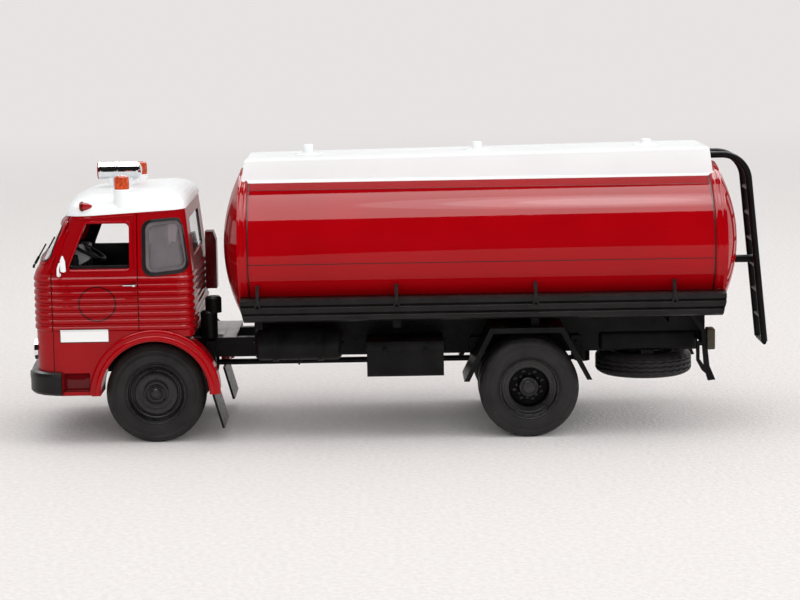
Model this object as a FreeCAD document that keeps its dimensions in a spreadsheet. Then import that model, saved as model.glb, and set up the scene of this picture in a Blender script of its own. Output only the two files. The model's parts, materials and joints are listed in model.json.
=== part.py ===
import FreeCAD, Part
import math
import os
import re
import Sketcher
from FreeCAD import Matrix, Rotation, Vector

# A die-cast collector's model of a two-axle fire brigade tanker lorry, in millimetres.
# The front points to -X, the left side to -Y and the wheels stand on Z = 0.
# Lengths along the lorry are measured from the front axle, heights from the ground
# and widths from the centre plane.

SIZES = {
    # Reach ahead of the front axle and behind the rear one
    "front_reach": 33.2,
    "rear_overhang": 63.2,
    # Wheels
    "wheelbase": 93.5,
    "tyre_radius": 12.5,
    "tyre_width": 6.2,
    "bead_radius": 7.5,
    "bead_inset": 0.5,
    "shoulder_round": 1.2,
    "front_tyre_centre": 23.1,
    "rear_tyre_centre": 24.4,
    "dual_pitch": 7.0,
    "rim_depth": 5.4,
    "rim_wall": 0.7,
    "rim_dish": 1.2,
    "ring_radius": 3.9,
    "ring_rise": 0.8,
    "cap_radius": 1.2,
    "cap_rise": 0.4,
    "hub_radius": 2.2,
    "hub_sink": 1.6,
    "bore_sink": 2.4,
    "axle_radius": 1.0,
    "running_gap": 0.08,
    "seat_gap": 0.05,
    # Chassis frame
    "rail_outer": 9.9,
    "rail_flange": 2.4,
    "rail_web": 0.9,
    "rail_base": 19.0,
    "rail_top": 24.0,
    "rail_front": 27.5,
    "rail_overhang": 44.4,
    "tube_radius": 1.2,
    "tube_clear": 7.5,
    "tube_inset": 1.4,
    "boss_radius": 2.0,
    "boss_hole": 0.9,
    "boss_foot": 15.0,
    "boss_depth": 4.5,
    "boss_front": 25.5,
    "boss_offset": 15.5,
    "beam_half": 16.5,
    "beam_deep": 2.4,
    "beam_rise": 2.2,
    "housing_half": 12.6,
    "housing_tube": 2.2,
    "housing_round": 4.6,
    "housing_front": 3.2,
    "housing_rear": 4.6,
    "shaft_radius": 1.2,
    "shaft_rise": 3.2,
    "spring_width": 2.5,
    "leaf_thick": 0.8,
    "leaf_step": 2.2,
    "front_spring_top": 17.4,
    "rear_spring_top": 18.0,
    "spring_reach": 13.0,
    "hanger_half": 1.2,
    "hanger_drop": 0.6,
    # Cab
    "cab_front": 30.0,
    "cab_bow": 1.2,
    "cab_rear": 9.8,
    "cab_side": 27.0,
    "cab_wall": 1.1,
    "cab_foot": 12.5,
    "belt": 43.0,
    "front_corner": 7.5,
    "rear_corner": 3.5,
    "roof_line": 57.0,
    "roof_front": 21.7,
    "roof_rear": 8.2,
    "roof_side": 24.7,
    "roof_crown": 5.2,
    "roof_tilt": 3.2,
    "roof_eave": 0.3,
    "rib_count": 8,
    "rib_pitch": 1.74,
    "rib_first": 29.4,
    "rib_rise": 0.4,
    "arch_radius": 13.6,
    "arch_lip": 2.2,
    "fender_flare": 1.2,
    "fender_in": 17.5,
    "rear_wall_foot": 27.0,
    "door_front": 25.1,
    "door_top_front": 20.6,
    "door_rear": 3.6,
    "door_gap": 0.28,
    "door_gap_depth": 0.3,
    "step_front": 22.9,
    "step_rear": 16.2,
    "step_low": 13.5,
    "step_top": 18.2,
    "step_depth": 0.7,
    # Windows
    "window_sill": 44.3,
    "window_head": 55.4,
    "door_window_front": 20.8,
    "door_window_top_front": 16.2,
    "door_window_rear": 5.6,
    "door_window_round": 1.2,
    "quarter_front": 1.5,
    "quarter_sill": 42.9,
    "quarter_head": 55.6,
    "quarter_inset": 0.6,
    "quarter_round": 2.2,
    "quarter_depth": 6.5,
    "windscreen_half": 25.8,
    "windscreen_head_half": 22.0,
    "windscreen_sill": 45.2,
    "windscreen_head": 55.8,
    "windscreen_round": 2.0,
    "pillar_low": 24.6,
    "pillar_top": 17.8,
    "rear_window_half": 14.0,
    "rear_window_lift": 1.5,
    "rear_window_round": 1.5,
    "glass_inset": 0.35,
    "glass_thick": 0.6,
    "seal_width": 0.9,
    "seal_proud": 0.25,
    # Inside of the cab
    "floor_thick": 1.6,
    "tunnel_half": 6.5,
    "tunnel_top": 36.0,
    "seat_half": 6.0,
    "seat_centre": 15.5,
    "seat_front": 6.0,
    "seat_rear": 5.4,
    "seat_top": 37.5,
    "seat_back_thick": 2.4,
    "seat_back_top": 49.0,
    "dash_front": 26.4,
    "dash_rear": 20.6,
    "dash_low": 38.5,
    "dash_top": 46.0,
    "dash_half": 21.4,
    "dash_foot_half": 4.0,
    "dash_foot_deep": 3.0,
    "engine_front": 20.0,
    "engine_rear": 8.5,
    "engine_low": 15.2,
    "engine_play": 0.4,
    "steering_radius": 5.2,
    "steering_bar": 0.45,
    "steering_station": 17.5,
    "steering_height": 48.0,
    "steering_lean": 0.55,
    "column_radius": 0.6,
    # Bumper and front
    "bumper_low": 12.8,
    "bumper_top": 18.6,
    "bumper_out": 2.0,
    "bumper_round": 1.2,
    "bumper_return": 23.1,
    "nub_radius": 1.1,
    "nub_side": 12.0,
    "lamp_radius": 2.6,
    "lamp_side": 19.0,
    "lamp_height": 23.3,
    "lamp_proud": 0.7,
    "lamp_depth": 1.9,
    "grille_half": 13.0,
    "grille_low": 19.4,
    "grille_top": 27.6,
    "grille_thick": 1.0,
    "grille_frame": 1.0,
    "grille_round": 1.2,
    "grille_count": 4,
    # Mirrors, wipers and handles
    "mirror_front": 23.6,
    "mirror_rear": 21.0,
    "mirror_low": 43.4,
    "mirror_top": 48.4,
    "mirror_bevel": 0.6,
    "mirror_stand": 1.4,
    "mirror_thick": 0.8,
    "mirror_arm": 0.45,
    "wiper_radius": 0.35,
    "wiper_low": 43.5,
    "wiper_top": 49.1,
    "wiper_foot": 1.2,
    "wiper_rake": 3.9,
    "wiper_left": 12.0,
    "wiper_right": 4.0,
    "handle_front": 7.3,
    "handle_rear": 4.1,
    "handle_low": 40.0,
    "handle_top": 40.6,
    "handle_proud": 0.8,
    # Roof equipment
    "beacon_side": 22.5,
    "beacon_station": 7.3,
    "beacon_radius": 1.85,
    "beacon_lip": 0.2,
    "beacon_foot": 63.2,
    "beacon_height": 3.9,
    "marker_radius": 1.3,
    "marker_station": 16.2,
    "marker_rise": 2.6,
    "marker_inset": 1.0,
    "siren_radius": 2.1,
    "siren_front": 15.8,
    "siren_rear": 4.4,
    "siren_height": 66.6,
    "siren_band": 0.3,
    "siren_foot_inset": 2.7,
    "siren_foot_half": 0.6,
    # Behind the cab
    "intake_front": 10.3,
    "intake_rear": 13.2,
    "intake_low": 33.8,
    "intake_top": 49.0,
    "intake_side": 15.0,
    "intake_half": 2.4,
    "intake_slope": 2.4,
    "cleaner_side": 9.0,
    "cleaner_radius": 2.2,
    "cleaner_cap": 2.1,
    "cleaner_shift": 1.2,
    "cleaner_neck": 31.0,
    "cleaner_top": 34.7,
    "cleaner_bevel": 0.5,
    # Under the chassis
    "flap_width": 16.0,
    "flap_low": 3.9,
    "flap_thick": 0.6,
    "flap_inset": 0.6,
    "flap_lean": 0.28,
    "air_tank_front": 25.0,
    "air_tank_rear": 46.6,
    "air_tank_radius": 4.1,
    "air_tank_bevel": 0.8,
    "air_tank_centre": 23.7,
    "air_tank_side": 20.0,
    "strap_half": 0.7,
    "strap_proud": 0.3,
    "box_gap": 6.4,
    "box_clear": 5.0,
    "box_low": 16.0,
    "box_top": 24.7,
    "box_out": 27.0,
    "box_in": 15.5,
    "box_bevel": 0.6,
    "arm_half": 1.0,
    "arm_inset": 0.6,
    "guard_thick": 1.3,
    "guard_top": 27.9,
    "guard_foot": 14.6,
    "guard_front_reach": 16.3,
    "guard_rear_reach": 15.7,
    "guard_flat": 9.2,
    "guard_shift": 0.5,
    "guard_out": 28.2,
    "guard_in": 13.2,
    "spare_offset": 31.5,
    "spare_low": 11.6,
    "carrier_half": 1.6,
    "stay_side": 20.0,
    "stay_half": 0.8,
    "lamp_block_half": 2.0,
    "lamp_block_low": 20.8,
    "lamp_block_top": 25.9,
    # Tank
    "tank_front": 21.2,
    "tank_overhang": 49.7,
    "tank_half": 27.5,
    "tank_rise": 19.2,
    "tank_centre": 47.2,
    "front_dome": 4.9,
    "rear_dome": 5.4,
    "band_width": 2.2,
    "band_proud": 0.35,
    "cradle_half": 11.0,
    "cradle_top": 31.0,
    "cradle_inset": 3.0,
    "cradle_overrun": 1.7,
    "saddle_half": 1.0,
    "saddle_inset": 4.0,
    "skirt_top": 36.2,
    "skirt_low": 30.2,
    "skirt_proud": 0.5,
    "skirt_plate": 1.0,
    "skirt_bevel": 1.0,
    "skirt_inset": 0.45,
    "skirt_flange": 12.0,
    "skirt_cut": 0.9,
    "skirt_cut_rise": 3.6,
    "groove_half": 0.4,
    "groove_depth": 0.5,
    "bracket_front_inset": 4.35,
    "bracket_rear_inset": 12.85,
    "bracket_top": 39.3,
    "bracket_half": 0.4,
    "bracket_thick": 0.6,
    "bracket_proud": 0.3,
    "fork_foot": 33.7,
    "fork_spread": 0.85,
    "fork_half": 0.22,
    "walkway_front_inset": 0.4,
    "walkway_rear_inset": 1.6,
    "walkway_half": 13.0,
    "walkway_height": 3.4,
    "walkway_rise": 1.4,
    "walkway_taper": 1.2,
    "walkway_round": 0.7,
    "hatch_radius": 3.5,
    "hatch_plate": 0.5,
    "hatch_rise": 1.4,
    "hatch_front_inset": 16.9,
    "hatch_rear_inset": 15.9,
    "knob_radius": 1.4,
    "knob_bevel": 0.3,
    # Ladder
    "ladder_half": 5.3,
    "ladder_tube": 0.85,
    "ladder_drop": 1.2,
    "ladder_reach": 7.8,
    "ladder_bend": 7.0,
    "ladder_foot": 19.9,
    "rung_tube": 0.55,
    "rung_pitch": 6.7,
    "rung_count": 7,
    "ladder_stay": 1.0,
    "ladder_stay_height": 41.0,
}

doc = FreeCAD.newDocument("TankerLorry")
sheet = doc.addObject("Spreadsheet::Sheet", "Sizes")
for row, (alias, number) in enumerate(SIZES.items(), 1):
    sheet.set(f"A{row}", alias)
    sheet.set(f"B{row}", str(number))
    sheet.setAlias(f"B{row}", alias)
doc.recompute()

# The cab floor stands on the front arches.
FLOOR = "(tyre_radius + arch_radius + arch_lip + seat_gap)"

# Places that several pieces share
TANK_REAR = "(wheelbase + tank_overhang)"
RAIL_REAR = "(wheelbase + rail_overhang)"
BOSS_REAR = "(wheelbase + boss_offset)"
SPARE = "(wheelbase + spare_offset)"
REAR_REACH = "(wheelbase + rear_overhang)"
FENDER_OUT = "(cab_side + fender_flare)"
SKIRT_OUT = "(tank_half + skirt_proud)"
WALKWAY_FRONT = "(tank_front + walkway_front_inset)"
WALKWAY_REAR = f"({TANK_REAR} - walkway_rear_inset)"
WALKWAY_TOP = "(tank_centre + tank_rise + walkway_height)"

# The model's frame has its origin midway between the foremost and the rearmost tip.
SHIFT = f"(front_reach - {REAR_REACH}) / 2"
NODES = {}


def formula(text):
    """Turn a formula over the aliases into one over the sheet's cells."""
    return re.sub(r"[a-z_]*[a-z]\b(?!\()", lambda name: "Sizes." + name.group(), str(text))


def size(text):
    """The present value of a formula over the aliases."""
    return float(sheet.evalExpression(formula(text)))


def bind(thing, **formulas):
    """Bind properties of a document object to formulas."""
    for name, text in formulas.items():
        thing.setExpression(name.replace("__", "."), formula(text))
    return thing


def station(text):
    """A place along the lorry, measured from the front axle, in the model's frame."""
    return f"{SHIFT} + ({text})"


def node(name, thing):
    """Name a finished sub-part."""
    thing.Label = name
    NODES[name] = thing
    return thing


def fixed(name, shape):
    """A sub-part whose shape is made by formulas in this file."""
    thing = doc.addObject("Part::Feature", name)
    thing.Shape = shape
    return thing


# Primitives bound to the sheet


def block(name, x, y, z):
    """A box between pairs of formulas along X, Y and Z."""
    box = doc.addObject("Part::Box", name)
    bind(box, Length=f"({x[1]}) - ({x[0]})", Width=f"({y[1]}) - ({y[0]})", Height=f"({z[1]}) - ({z[0]})")
    return bind(box, Placement__Base__x=station(x[0]), Placement__Base__y=y[0], Placement__Base__z=z[0])


def round_bar(name, axis, radius, ends, centre):
    """A cylinder along X, Y or Z between two formulas, through the centre given by two formulas."""
    bar = doc.addObject("Part::Cylinder", name)
    bind(bar, Radius=radius, Height=f"({ends[1]}) - ({ends[0]})")
    turns = {"X": Rotation(Vector(0, 1, 0), 90), "Y": Rotation(Vector(1, 0, 0), -90), "Z": Rotation()}
    bar.Placement = FreeCAD.Placement(Vector(), turns[axis])
    x, y, z = {"X": (ends[0], *centre), "Y": (centre[0], ends[0], centre[1]), "Z": (*centre, ends[0])}[axis]
    return bind(bar, Placement__Base__x=station(x), Placement__Base__y=y, Placement__Base__z=z)


def joined(name, pieces):
    """Fuse touching pieces into one solid."""
    whole = doc.addObject("Part::MultiFuse", name)
    whole.Shapes = pieces
    return whole


def group(name, pieces):
    """Hold like pieces that don't touch."""
    whole = doc.addObject("Part::Compound", name)
    whole.Links = pieces
    return whole


def less(name, base, tool):
    """Cut one shape from another."""
    rest = doc.addObject("Part::Cut", name)
    rest.Base = base
    rest.Tool = tool
    return rest


def shared(name, pieces):
    """Keep what shapes have in common."""
    rest = doc.addObject("Part::MultiCommon", name)
    rest.Shapes = pieces
    return rest


def mirrored(side, low, high):
    """A pair of formulas for a span on the right side, or its mirror image on the left."""
    return (low, high) if side > 0 else (f"-({high})", f"-({low})")


# Sketched bodies


def sketch(body, plane, points, arcs=None):
    """A closed outline through points given by formulas; arcs maps a run's number to its radius and side."""
    arcs = arcs or {}
    outline = body.newObject("Sketcher::SketchObject", body.Name + "Outline")
    support = next(feature for feature in body.Origin.OriginFeatures if feature.Role == plane)
    outline.AttachmentSupport = (support, [""])
    outline.MapMode = "FlatFace"
    spots = [Vector(size(across), size(up), 0) for across, up in points]
    ends = {}
    for run, start in enumerate(spots):
        end = spots[(run + 1) % len(spots)]
        if run not in arcs:
            outline.addGeometry(Part.LineSegment(start, end), False)
            ends[run] = (1, 2)
            continue
        radius, side = arcs[run]
        chord = end - start
        across = Vector(-chord.y, chord.x, 0).normalize()
        drop = math.sqrt(size(radius) ** 2 - (chord.Length / 2) ** 2)
        centre = (start + end) * 0.5 + across * side * drop
        order = (start, end) if side > 0 else (end, start)
        angles = [math.atan2(spot.y - centre.y, spot.x - centre.x) for spot in order]
        outline.addGeometry(Part.ArcOfCircle(Part.Circle(centre, Vector(0, 0, 1), size(radius)), *angles), False)
        ends[run] = (1, 2) if side > 0 else (2, 1)
    for run in range(len(spots)):
        following = (run + 1) % len(spots)
        outline.addConstraint(Sketcher.Constraint("Coincident", run, ends[run][1], following, ends[following][0]))
    for run, (across, up) in enumerate(points):
        for kind, text in (("DistanceX", across), ("DistanceY", up)):
            place = outline.addConstraint(Sketcher.Constraint(kind, -1, 1, run, ends[run][0], size(text)))
            outline.setExpression(f"Constraints[{place}]", formula(text))
        if run in arcs:
            place = outline.addConstraint(Sketcher.Constraint("Radius", run, size(arcs[run][0])))
            outline.setExpression(f"Constraints[{place}]", formula(arcs[run][0]))
    return outline


def padded(name, plane, points, length, arcs=None):
    """A body padded evenly to both sides of one of its origin planes."""
    body = doc.addObject("PartDesign::Body", name)
    pad = body.newObject("PartDesign::Pad", name + "Pad")
    body.Tip = pad
    pad.Profile = sketch(body, plane, points, arcs)
    pad.Midplane = True
    bind(pad, Length=length)
    body.Tip = pad
    return body


def turned(name, points, arcs=None, plane="YZ_Plane", axis="H_Axis"):
    """A body of revolution."""
    body = doc.addObject("PartDesign::Body", name)
    outline = sketch(body, plane, points, arcs)
    lathe = body.newObject("PartDesign::Revolution", name + "Turn")
    lathe.Profile = outline
    lathe.ReferenceAxis = (outline, [axis])
    lathe.Angle = 360
    body.Tip = lathe
    return body


def placed(body, x, y, z):
    """Bind a body's place."""
    return bind(body, Placement__Base__x=station(x), Placement__Base__y=y, Placement__Base__z=z)


# Wheels


def tyre(name, x, y):
    """A tyre with a flat tread, bevelled shoulders and walls that lean out, turned about its axle."""
    half = "tyre_width / 2"
    bead = f"({half} - bead_inset)"
    tread = f"({half} - shoulder_round)"
    points = [
        (f"-{bead}", "bead_radius + seat_gap"),
        (bead, "bead_radius + seat_gap"),
        (half, "tyre_radius - shoulder_round"),
        (tread, "tyre_radius"),
        (f"-{tread}", "tyre_radius"),
        (f"-{half}", "tyre_radius - shoulder_round"),
    ]
    return placed(turned(name, points), x, y, "tyre_radius")


def front_rim(name, side):
    """A closed disc wheel with a raised ring and a cap, bored for its axle from behind."""
    face = "rim_depth / 2"
    disc = f"{face} - rim_dish"
    ring = f"{disc} + ring_rise"
    points = [
        (f"-{face}", "axle_radius"),
        (f"-{face}", "bead_radius"),
        (face, "bead_radius"),
        (face, "bead_radius - rim_wall"),
        (disc, "bead_radius - rim_wall - rim_dish / 2"),
        (disc, "ring_radius + ring_rise / 2"),
        (ring, "ring_radius"),
        (ring, "cap_radius + cap_rise"),
        (f"{ring} + cap_rise", "cap_radius"),
        (f"{ring} + cap_rise", "0"),
        (f"{face} - bore_sink", "0"),
        (f"{face} - bore_sink", "axle_radius"),
    ]
    rim = placed(turned(name, points), "0", f"{side} * front_tyre_centre", "tyre_radius")
    if side < 0:
        rim.Placement.Rotation = Rotation(Vector(0, 0, 1), 180)
    return rim


def rear_rim(name, side):
    """A pair of dished rims on one closed hub, the outer one open towards the side."""
    face = "rim_depth / 2"
    dish = f"-{face} + 2 * rim_wall"
    points = [
        (f"-dual_pitch - {face}", "axle_radius"),
        (f"-dual_pitch - {face}", "bead_radius"),
        (f"-dual_pitch + {face}", "bead_radius"),
        (f"-dual_pitch + {face}", "bead_radius - 2 * rim_wall"),
        (f"-{face}", "bead_radius - 2 * rim_wall"),
        (f"-{face}", "bead_radius"),
        (face, "bead_radius"),
        (face, "bead_radius - rim_wall"),
        (dish, "bead_radius - 3 * rim_wall"),
        (dish, "hub_radius + rim_wall"),
        (f"{face} - hub_sink", "hub_radius"),
        (f"{face} - hub_sink", "0"),
        (f"{face} - bore_sink", "0"),
        (f"{face} - bore_sink", "axle_radius"),
    ]
    rim = placed(turned(name, points), "wheelbase", f"{side} * rear_tyre_centre", "tyre_radius")
    if side < 0:
        rim.Placement.Rotation = Rotation(Vector(0, 0, 1), 180)
    return rim


def wheels():
    """Both wheelsets, each on its own axle rod."""
    for word, side in (("left", -1), ("right", 1)):
        node(f"front_tyre_{word}", tyre(f"FrontTyre{word}", "0", f"{side} * front_tyre_centre"))
        node(f"front_rim_{word}", front_rim(f"FrontRim{word}", side))
        outer = tyre(f"OuterTyre{word}", "wheelbase", f"{side} * rear_tyre_centre")
        inner = tyre(f"InnerTyre{word}", "wheelbase", f"{side} * (rear_tyre_centre - dual_pitch)")
        node(f"rear_tyres_{word}", group(f"RearTyres{word}", [outer, inner]))
        node(f"rear_rims_{word}", rear_rim(f"RearRim{word}", side))
    for name, x, centre in (("front_axle", "0", "front_tyre_centre"), ("rear_axle", "wheelbase", "rear_tyre_centre")):
        half = f"{centre} + rim_depth / 2 - bore_sink - seat_gap"
        rod = round_bar(name, "Y", "axle_radius - seat_gap", (f"-({half})", half), (x, "tyre_radius"))
        node(name, rod)


# Chassis


def rail(name, side):
    """A channel rail, open towards the centre plane."""
    outer, inner = f"{side} * rail_outer", f"{side} * (rail_outer - rail_flange)"
    web = f"{side} * (rail_outer - rail_web)"
    points = [
        (outer, "rail_base"),
        (outer, "rail_top"),
        (inner, "rail_top"),
        (inner, "rail_top - rail_web"),
        (web, "rail_top - rail_web"),
        (web, "rail_base + rail_web"),
        (inner, "rail_base + rail_web"),
        (inner, "rail_base"),
    ]
    body = padded(name, "YZ_Plane", points, f"{RAIL_REAR} + rail_front")
    return placed(body, f"({RAIL_REAR} - rail_front) / 2", "0", "0")


def crossmembers():
    """Cross tubes between the rails' webs, two of them with a boss for a plinth screw."""
    inner = "rail_outer - rail_web - seat_gap"
    centre = "(rail_base + rail_top) / 2"
    first = "(engine_rear + tube_clear)"
    pitch = f"({BOSS_REAR} - {first}) / 3"
    between = [f"{first} + {number} * {pitch}" for number in range(4)]
    stations = ["-boss_front", *between, f"{RAIL_REAR} - tube_inset"]
    tubes = [round_bar(f"CrossTube{number}", "Y", "tube_radius", (f"-({inner})", inner), (x, centre))
             for number, x in enumerate(stations)]
    for number in (0, 4):
        x = (stations[number], "0")
        boss = round_bar(f"PlinthBoss{number}", "Z", "boss_radius", ("boss_foot", centre), x)
        hole = round_bar(f"PlinthHole{number}", "Z", "boss_hole", ("boss_foot - 1", "boss_foot + boss_depth"), x)
        tubes[number] = less(f"BossTube{number}", joined(f"BossWhole{number}", [tubes[number], boss]), hole)
    return tubes


def bearing_block(name, x):
    """A block across the frame with a running fit for an axle rod."""
    mass = block(name + "Mass", (f"{x} - beam_deep", f"{x} + beam_deep"), ("-beam_half", "beam_half"),
                 ("tyre_radius - beam_rise", "tyre_radius + beam_rise"))
    bore = round_bar(name + "Bore", "Y", "axle_radius + running_gap", ("-beam_half - 1", "beam_half + 1"),
                     (x, "tyre_radius"))
    return less(name, mass, bore)


def leaf_spring(name, x, side, top):
    """A leaf spring of three leaves beside its rail, with a hanger at each end."""
    y = mirrored(side, "rail_outer + seat_gap", "rail_outer + seat_gap + spring_width")
    pieces = []
    for leaf in range(3):
        reach = f"(spring_reach - {leaf} * leaf_step)"
        pieces.append(block(f"{name}Leaf{leaf}", (f"{x} - {reach}", f"{x} + {reach}"), y,
                            (f"{top} - {leaf + 1} * leaf_thick", f"{top} - {leaf} * leaf_thick")))
    for end in (-1, 1):
        middle = f"{x} + {end} * spring_reach"
        pieces.append(block(f"{name}Hanger{end}", (f"{middle} - hanger_half", f"{middle} + hanger_half"), y,
                            (f"{top} - leaf_thick", "rail_top - hanger_drop")))
    return joined(name, pieces)


def springs(name, x, top):
    """The springs of one axle."""
    return group(name, [leaf_spring(name + word, x, side, top) for word, side in (("Left", -1), ("Right", 1))])


def chassis():
    """The ladder frame with the running gear that carries the axles."""
    for word, side in (("left", -1), ("right", 1)):
        node(f"frame_rail_{word}", rail(f"Rail{word}", side))
    node("crossmembers", group("Crossmembers", crossmembers()))
    node("front_axle_beam", bearing_block("FrontBeam", "0"))
    node("rear_axle_housing", rear_housing())
    node("front_springs", springs("FrontSprings", "0", "front_spring_top"))
    node("rear_springs", springs("RearSprings", "wheelbase", "rear_spring_top"))
    span = ("engine_rear + seat_gap", "wheelbase - housing_front - seat_gap")
    node("propshaft", round_bar("Propshaft", "X", "shaft_radius", span, ("0", "tyre_radius + shaft_rise")))
    half = "(rail_outer - rail_flange - engine_play)"
    node("engine_block", block("Engine", ("-engine_front", "engine_rear"), (f"-{half}", half),
                               ("engine_low", f"{FLOOR} - seat_gap")))


def rear_housing():
    """A banjo axle: two tubes into a round differential case, bored for the axle rod."""
    axle = ("wheelbase", "tyre_radius")
    tube = round_bar("HousingTube", "Y", "housing_tube", ("-housing_half", "housing_half"), axle)
    points = [
        ("-housing_front", "0"),
        ("-housing_front", "housing_round - leaf_thick"),
        ("-housing_front + leaf_thick", "housing_round"),
        ("housing_front - leaf_thick", "housing_round"),
        ("housing_rear", "housing_round / 2"),
        ("housing_rear", "0"),
    ]
    case = placed(turned("HousingCase", points, plane="XZ_Plane"), "wheelbase", "0", "tyre_radius")
    bore = round_bar("HousingBore", "Y", "axle_radius + running_gap", ("-housing_half - 1", "housing_half + 1"), axle)
    return less("RearHousing", joined("HousingWhole", [tube, case]), bore)


def flap(name, side):
    """A wide mud flap that hangs from the foot of the front fender."""
    top = "(tyre_radius - seat_gap)"
    front = "arch_radius + flap_inset"
    lean = f"({top} - flap_low) * flap_lean"
    points = [
        (front, top),
        (f"{front} + flap_thick", top),
        (f"{front} + flap_thick + {lean}", "flap_low"),
        (f"{front} + {lean}", "flap_low"),
    ]
    sheet = padded(name, "XZ_Plane", points, "flap_width")
    return placed(sheet, "0", f"{side} * ({FENDER_OUT} - flap_width / 2)", "0")


def mudguard(name, side):
    """A bent strip over the twin tyres."""
    front, rear = "-guard_front_reach", "guard_rear_reach"
    mitre = "0.6 * guard_thick"
    points = [
        (front, "guard_foot"),
        ("-guard_flat - guard_shift", "guard_top"),
        ("guard_flat - guard_shift", "guard_top"),
        (rear, "guard_foot"),
        (f"{rear} - guard_thick", "guard_foot"),
        (f"guard_flat - guard_shift - {mitre}", "guard_top - guard_thick"),
        (f"-guard_flat - guard_shift + {mitre}", "guard_top - guard_thick"),
        (f"{front} + guard_thick", "guard_foot"),
    ]
    body = padded(name, "XZ_Plane", points, "guard_out - guard_in")
    return placed(body, "wheelbase", f"{side} * (guard_out + guard_in) / 2", "0")


def spare_wheel():
    """A tyre laid flat on its carrier under the rear overhang."""
    spare = tyre("Spare", "0", "0")
    spare.Placement.Rotation = Rotation(Vector(1, 0, 0), 90)
    return placed(spare, SPARE, "0", "spare_low + tyre_width / 2")


def air_drum(shares):
    """A drum with bevelled ends and a strap at each share of its length."""
    radius, proud = "air_tank_radius", "air_tank_radius + strap_proud"
    points = [("air_tank_front", "0"), ("air_tank_front", f"{radius} - air_tank_bevel"),
              ("air_tank_front + air_tank_bevel", radius)]
    for share in shares:
        middle = f"air_tank_front + {share} * (air_tank_rear - air_tank_front)"
        points += [(f"{middle} - strap_half", radius), (f"{middle} - strap_half", proud),
                   (f"{middle} + strap_half", proud), (f"{middle} + strap_half", radius)]
    points += [("air_tank_rear - air_tank_bevel", radius), ("air_tank_rear", f"{radius} - air_tank_bevel"),
               ("air_tank_rear", "0")]
    return placed(turned("AirDrum", points, plane="XZ_Plane"), "0", "-air_tank_side", "air_tank_centre")


def air_tank():
    """The compressed-air drum on two arms from the left rail."""
    shares = (0.23, 0.75)
    arms = []
    for number, share in enumerate(shares):
        middle = f"air_tank_front + {share} * (air_tank_rear - air_tank_front)"
        arms.append(block(f"AirArm{number}", (f"{middle} - strap_half", f"{middle} + strap_half"),
                          ("-air_tank_side", "-rail_outer - seat_gap"),
                          ("air_tank_centre - air_tank_radius / 2", "air_tank_centre - air_tank_bevel")))
    return joined("AirTank", [air_drum(shares), *arms])


def side_box(name, side):
    """A box with bevelled outer edges on two arms from its rail."""
    front, rear = "(air_tank_rear + box_gap)", "(wheelbase - guard_front_reach - box_clear)"
    outline = [
        ("box_in", "box_low"),
        ("box_out - box_bevel", "box_low"),
        ("box_out", "box_low + box_bevel"),
        ("box_out", "box_top - box_bevel"),
        ("box_out - box_bevel", "box_top"),
        ("box_in", "box_top"),
    ]
    points = [(f"{side} * ({across})", up) for across, up in outline]
    case = placed(padded(name + "Case", "YZ_Plane", points, f"{rear} - {front}"), f"({front} + {rear}) / 2", "0", "0")
    arms = []
    for number, share in enumerate((0.2, 0.8)):
        middle = f"{front} + {share} * ({rear} - {front})"
        arms.append(block(f"{name}Arm{number}", (f"{middle} - arm_half", f"{middle} + arm_half"),
                          mirrored(side, "rail_outer + seat_gap", "box_in"),
                          ("rail_base + arm_inset", "rail_top - arm_inset")))
    return joined(name + "Whole", [case, *arms])


def underside():
    """Mud flaps, boxes, air tank, spare wheel and rear lamp stays."""
    node("front_mud_flaps", group("MudFlaps", [flap("FlapLeft", -1), flap("FlapRight", 1)]))
    for word, side in (("left", -1), ("right", 1)):
        node(f"rear_mudguard_{word}", mudguard(f"Mudguard{word}", side))
    node("air_tank", air_tank())
    node("battery_box", side_box("BatteryBox", -1))
    node("fuel_tank", side_box("FuelTank", 1))
    node("spare_wheel", spare_wheel())
    node("spare_carrier", spare_carrier())
    node("rear_lamp_bar", rear_lamp_bar())


def spare_carrier():
    """A plate across the tyre's hub, under the rails, with a plug that fills the hub."""
    top = "(spare_low + tyre_width)"
    plate = block("CarrierPlate", (f"{SPARE} - carrier_half", f"{SPARE} + carrier_half"),
                  ("-rail_outer", "rail_outer"), (f"{top} + seat_gap", "rail_base - seat_gap"))
    plug = round_bar("CarrierPlug", "Z", "bead_radius - 1", ("spare_low + 1", f"{top} + 4 * seat_gap"), (SPARE, "0"))
    return joined("SpareCarrier", [plate, plug])


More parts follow.
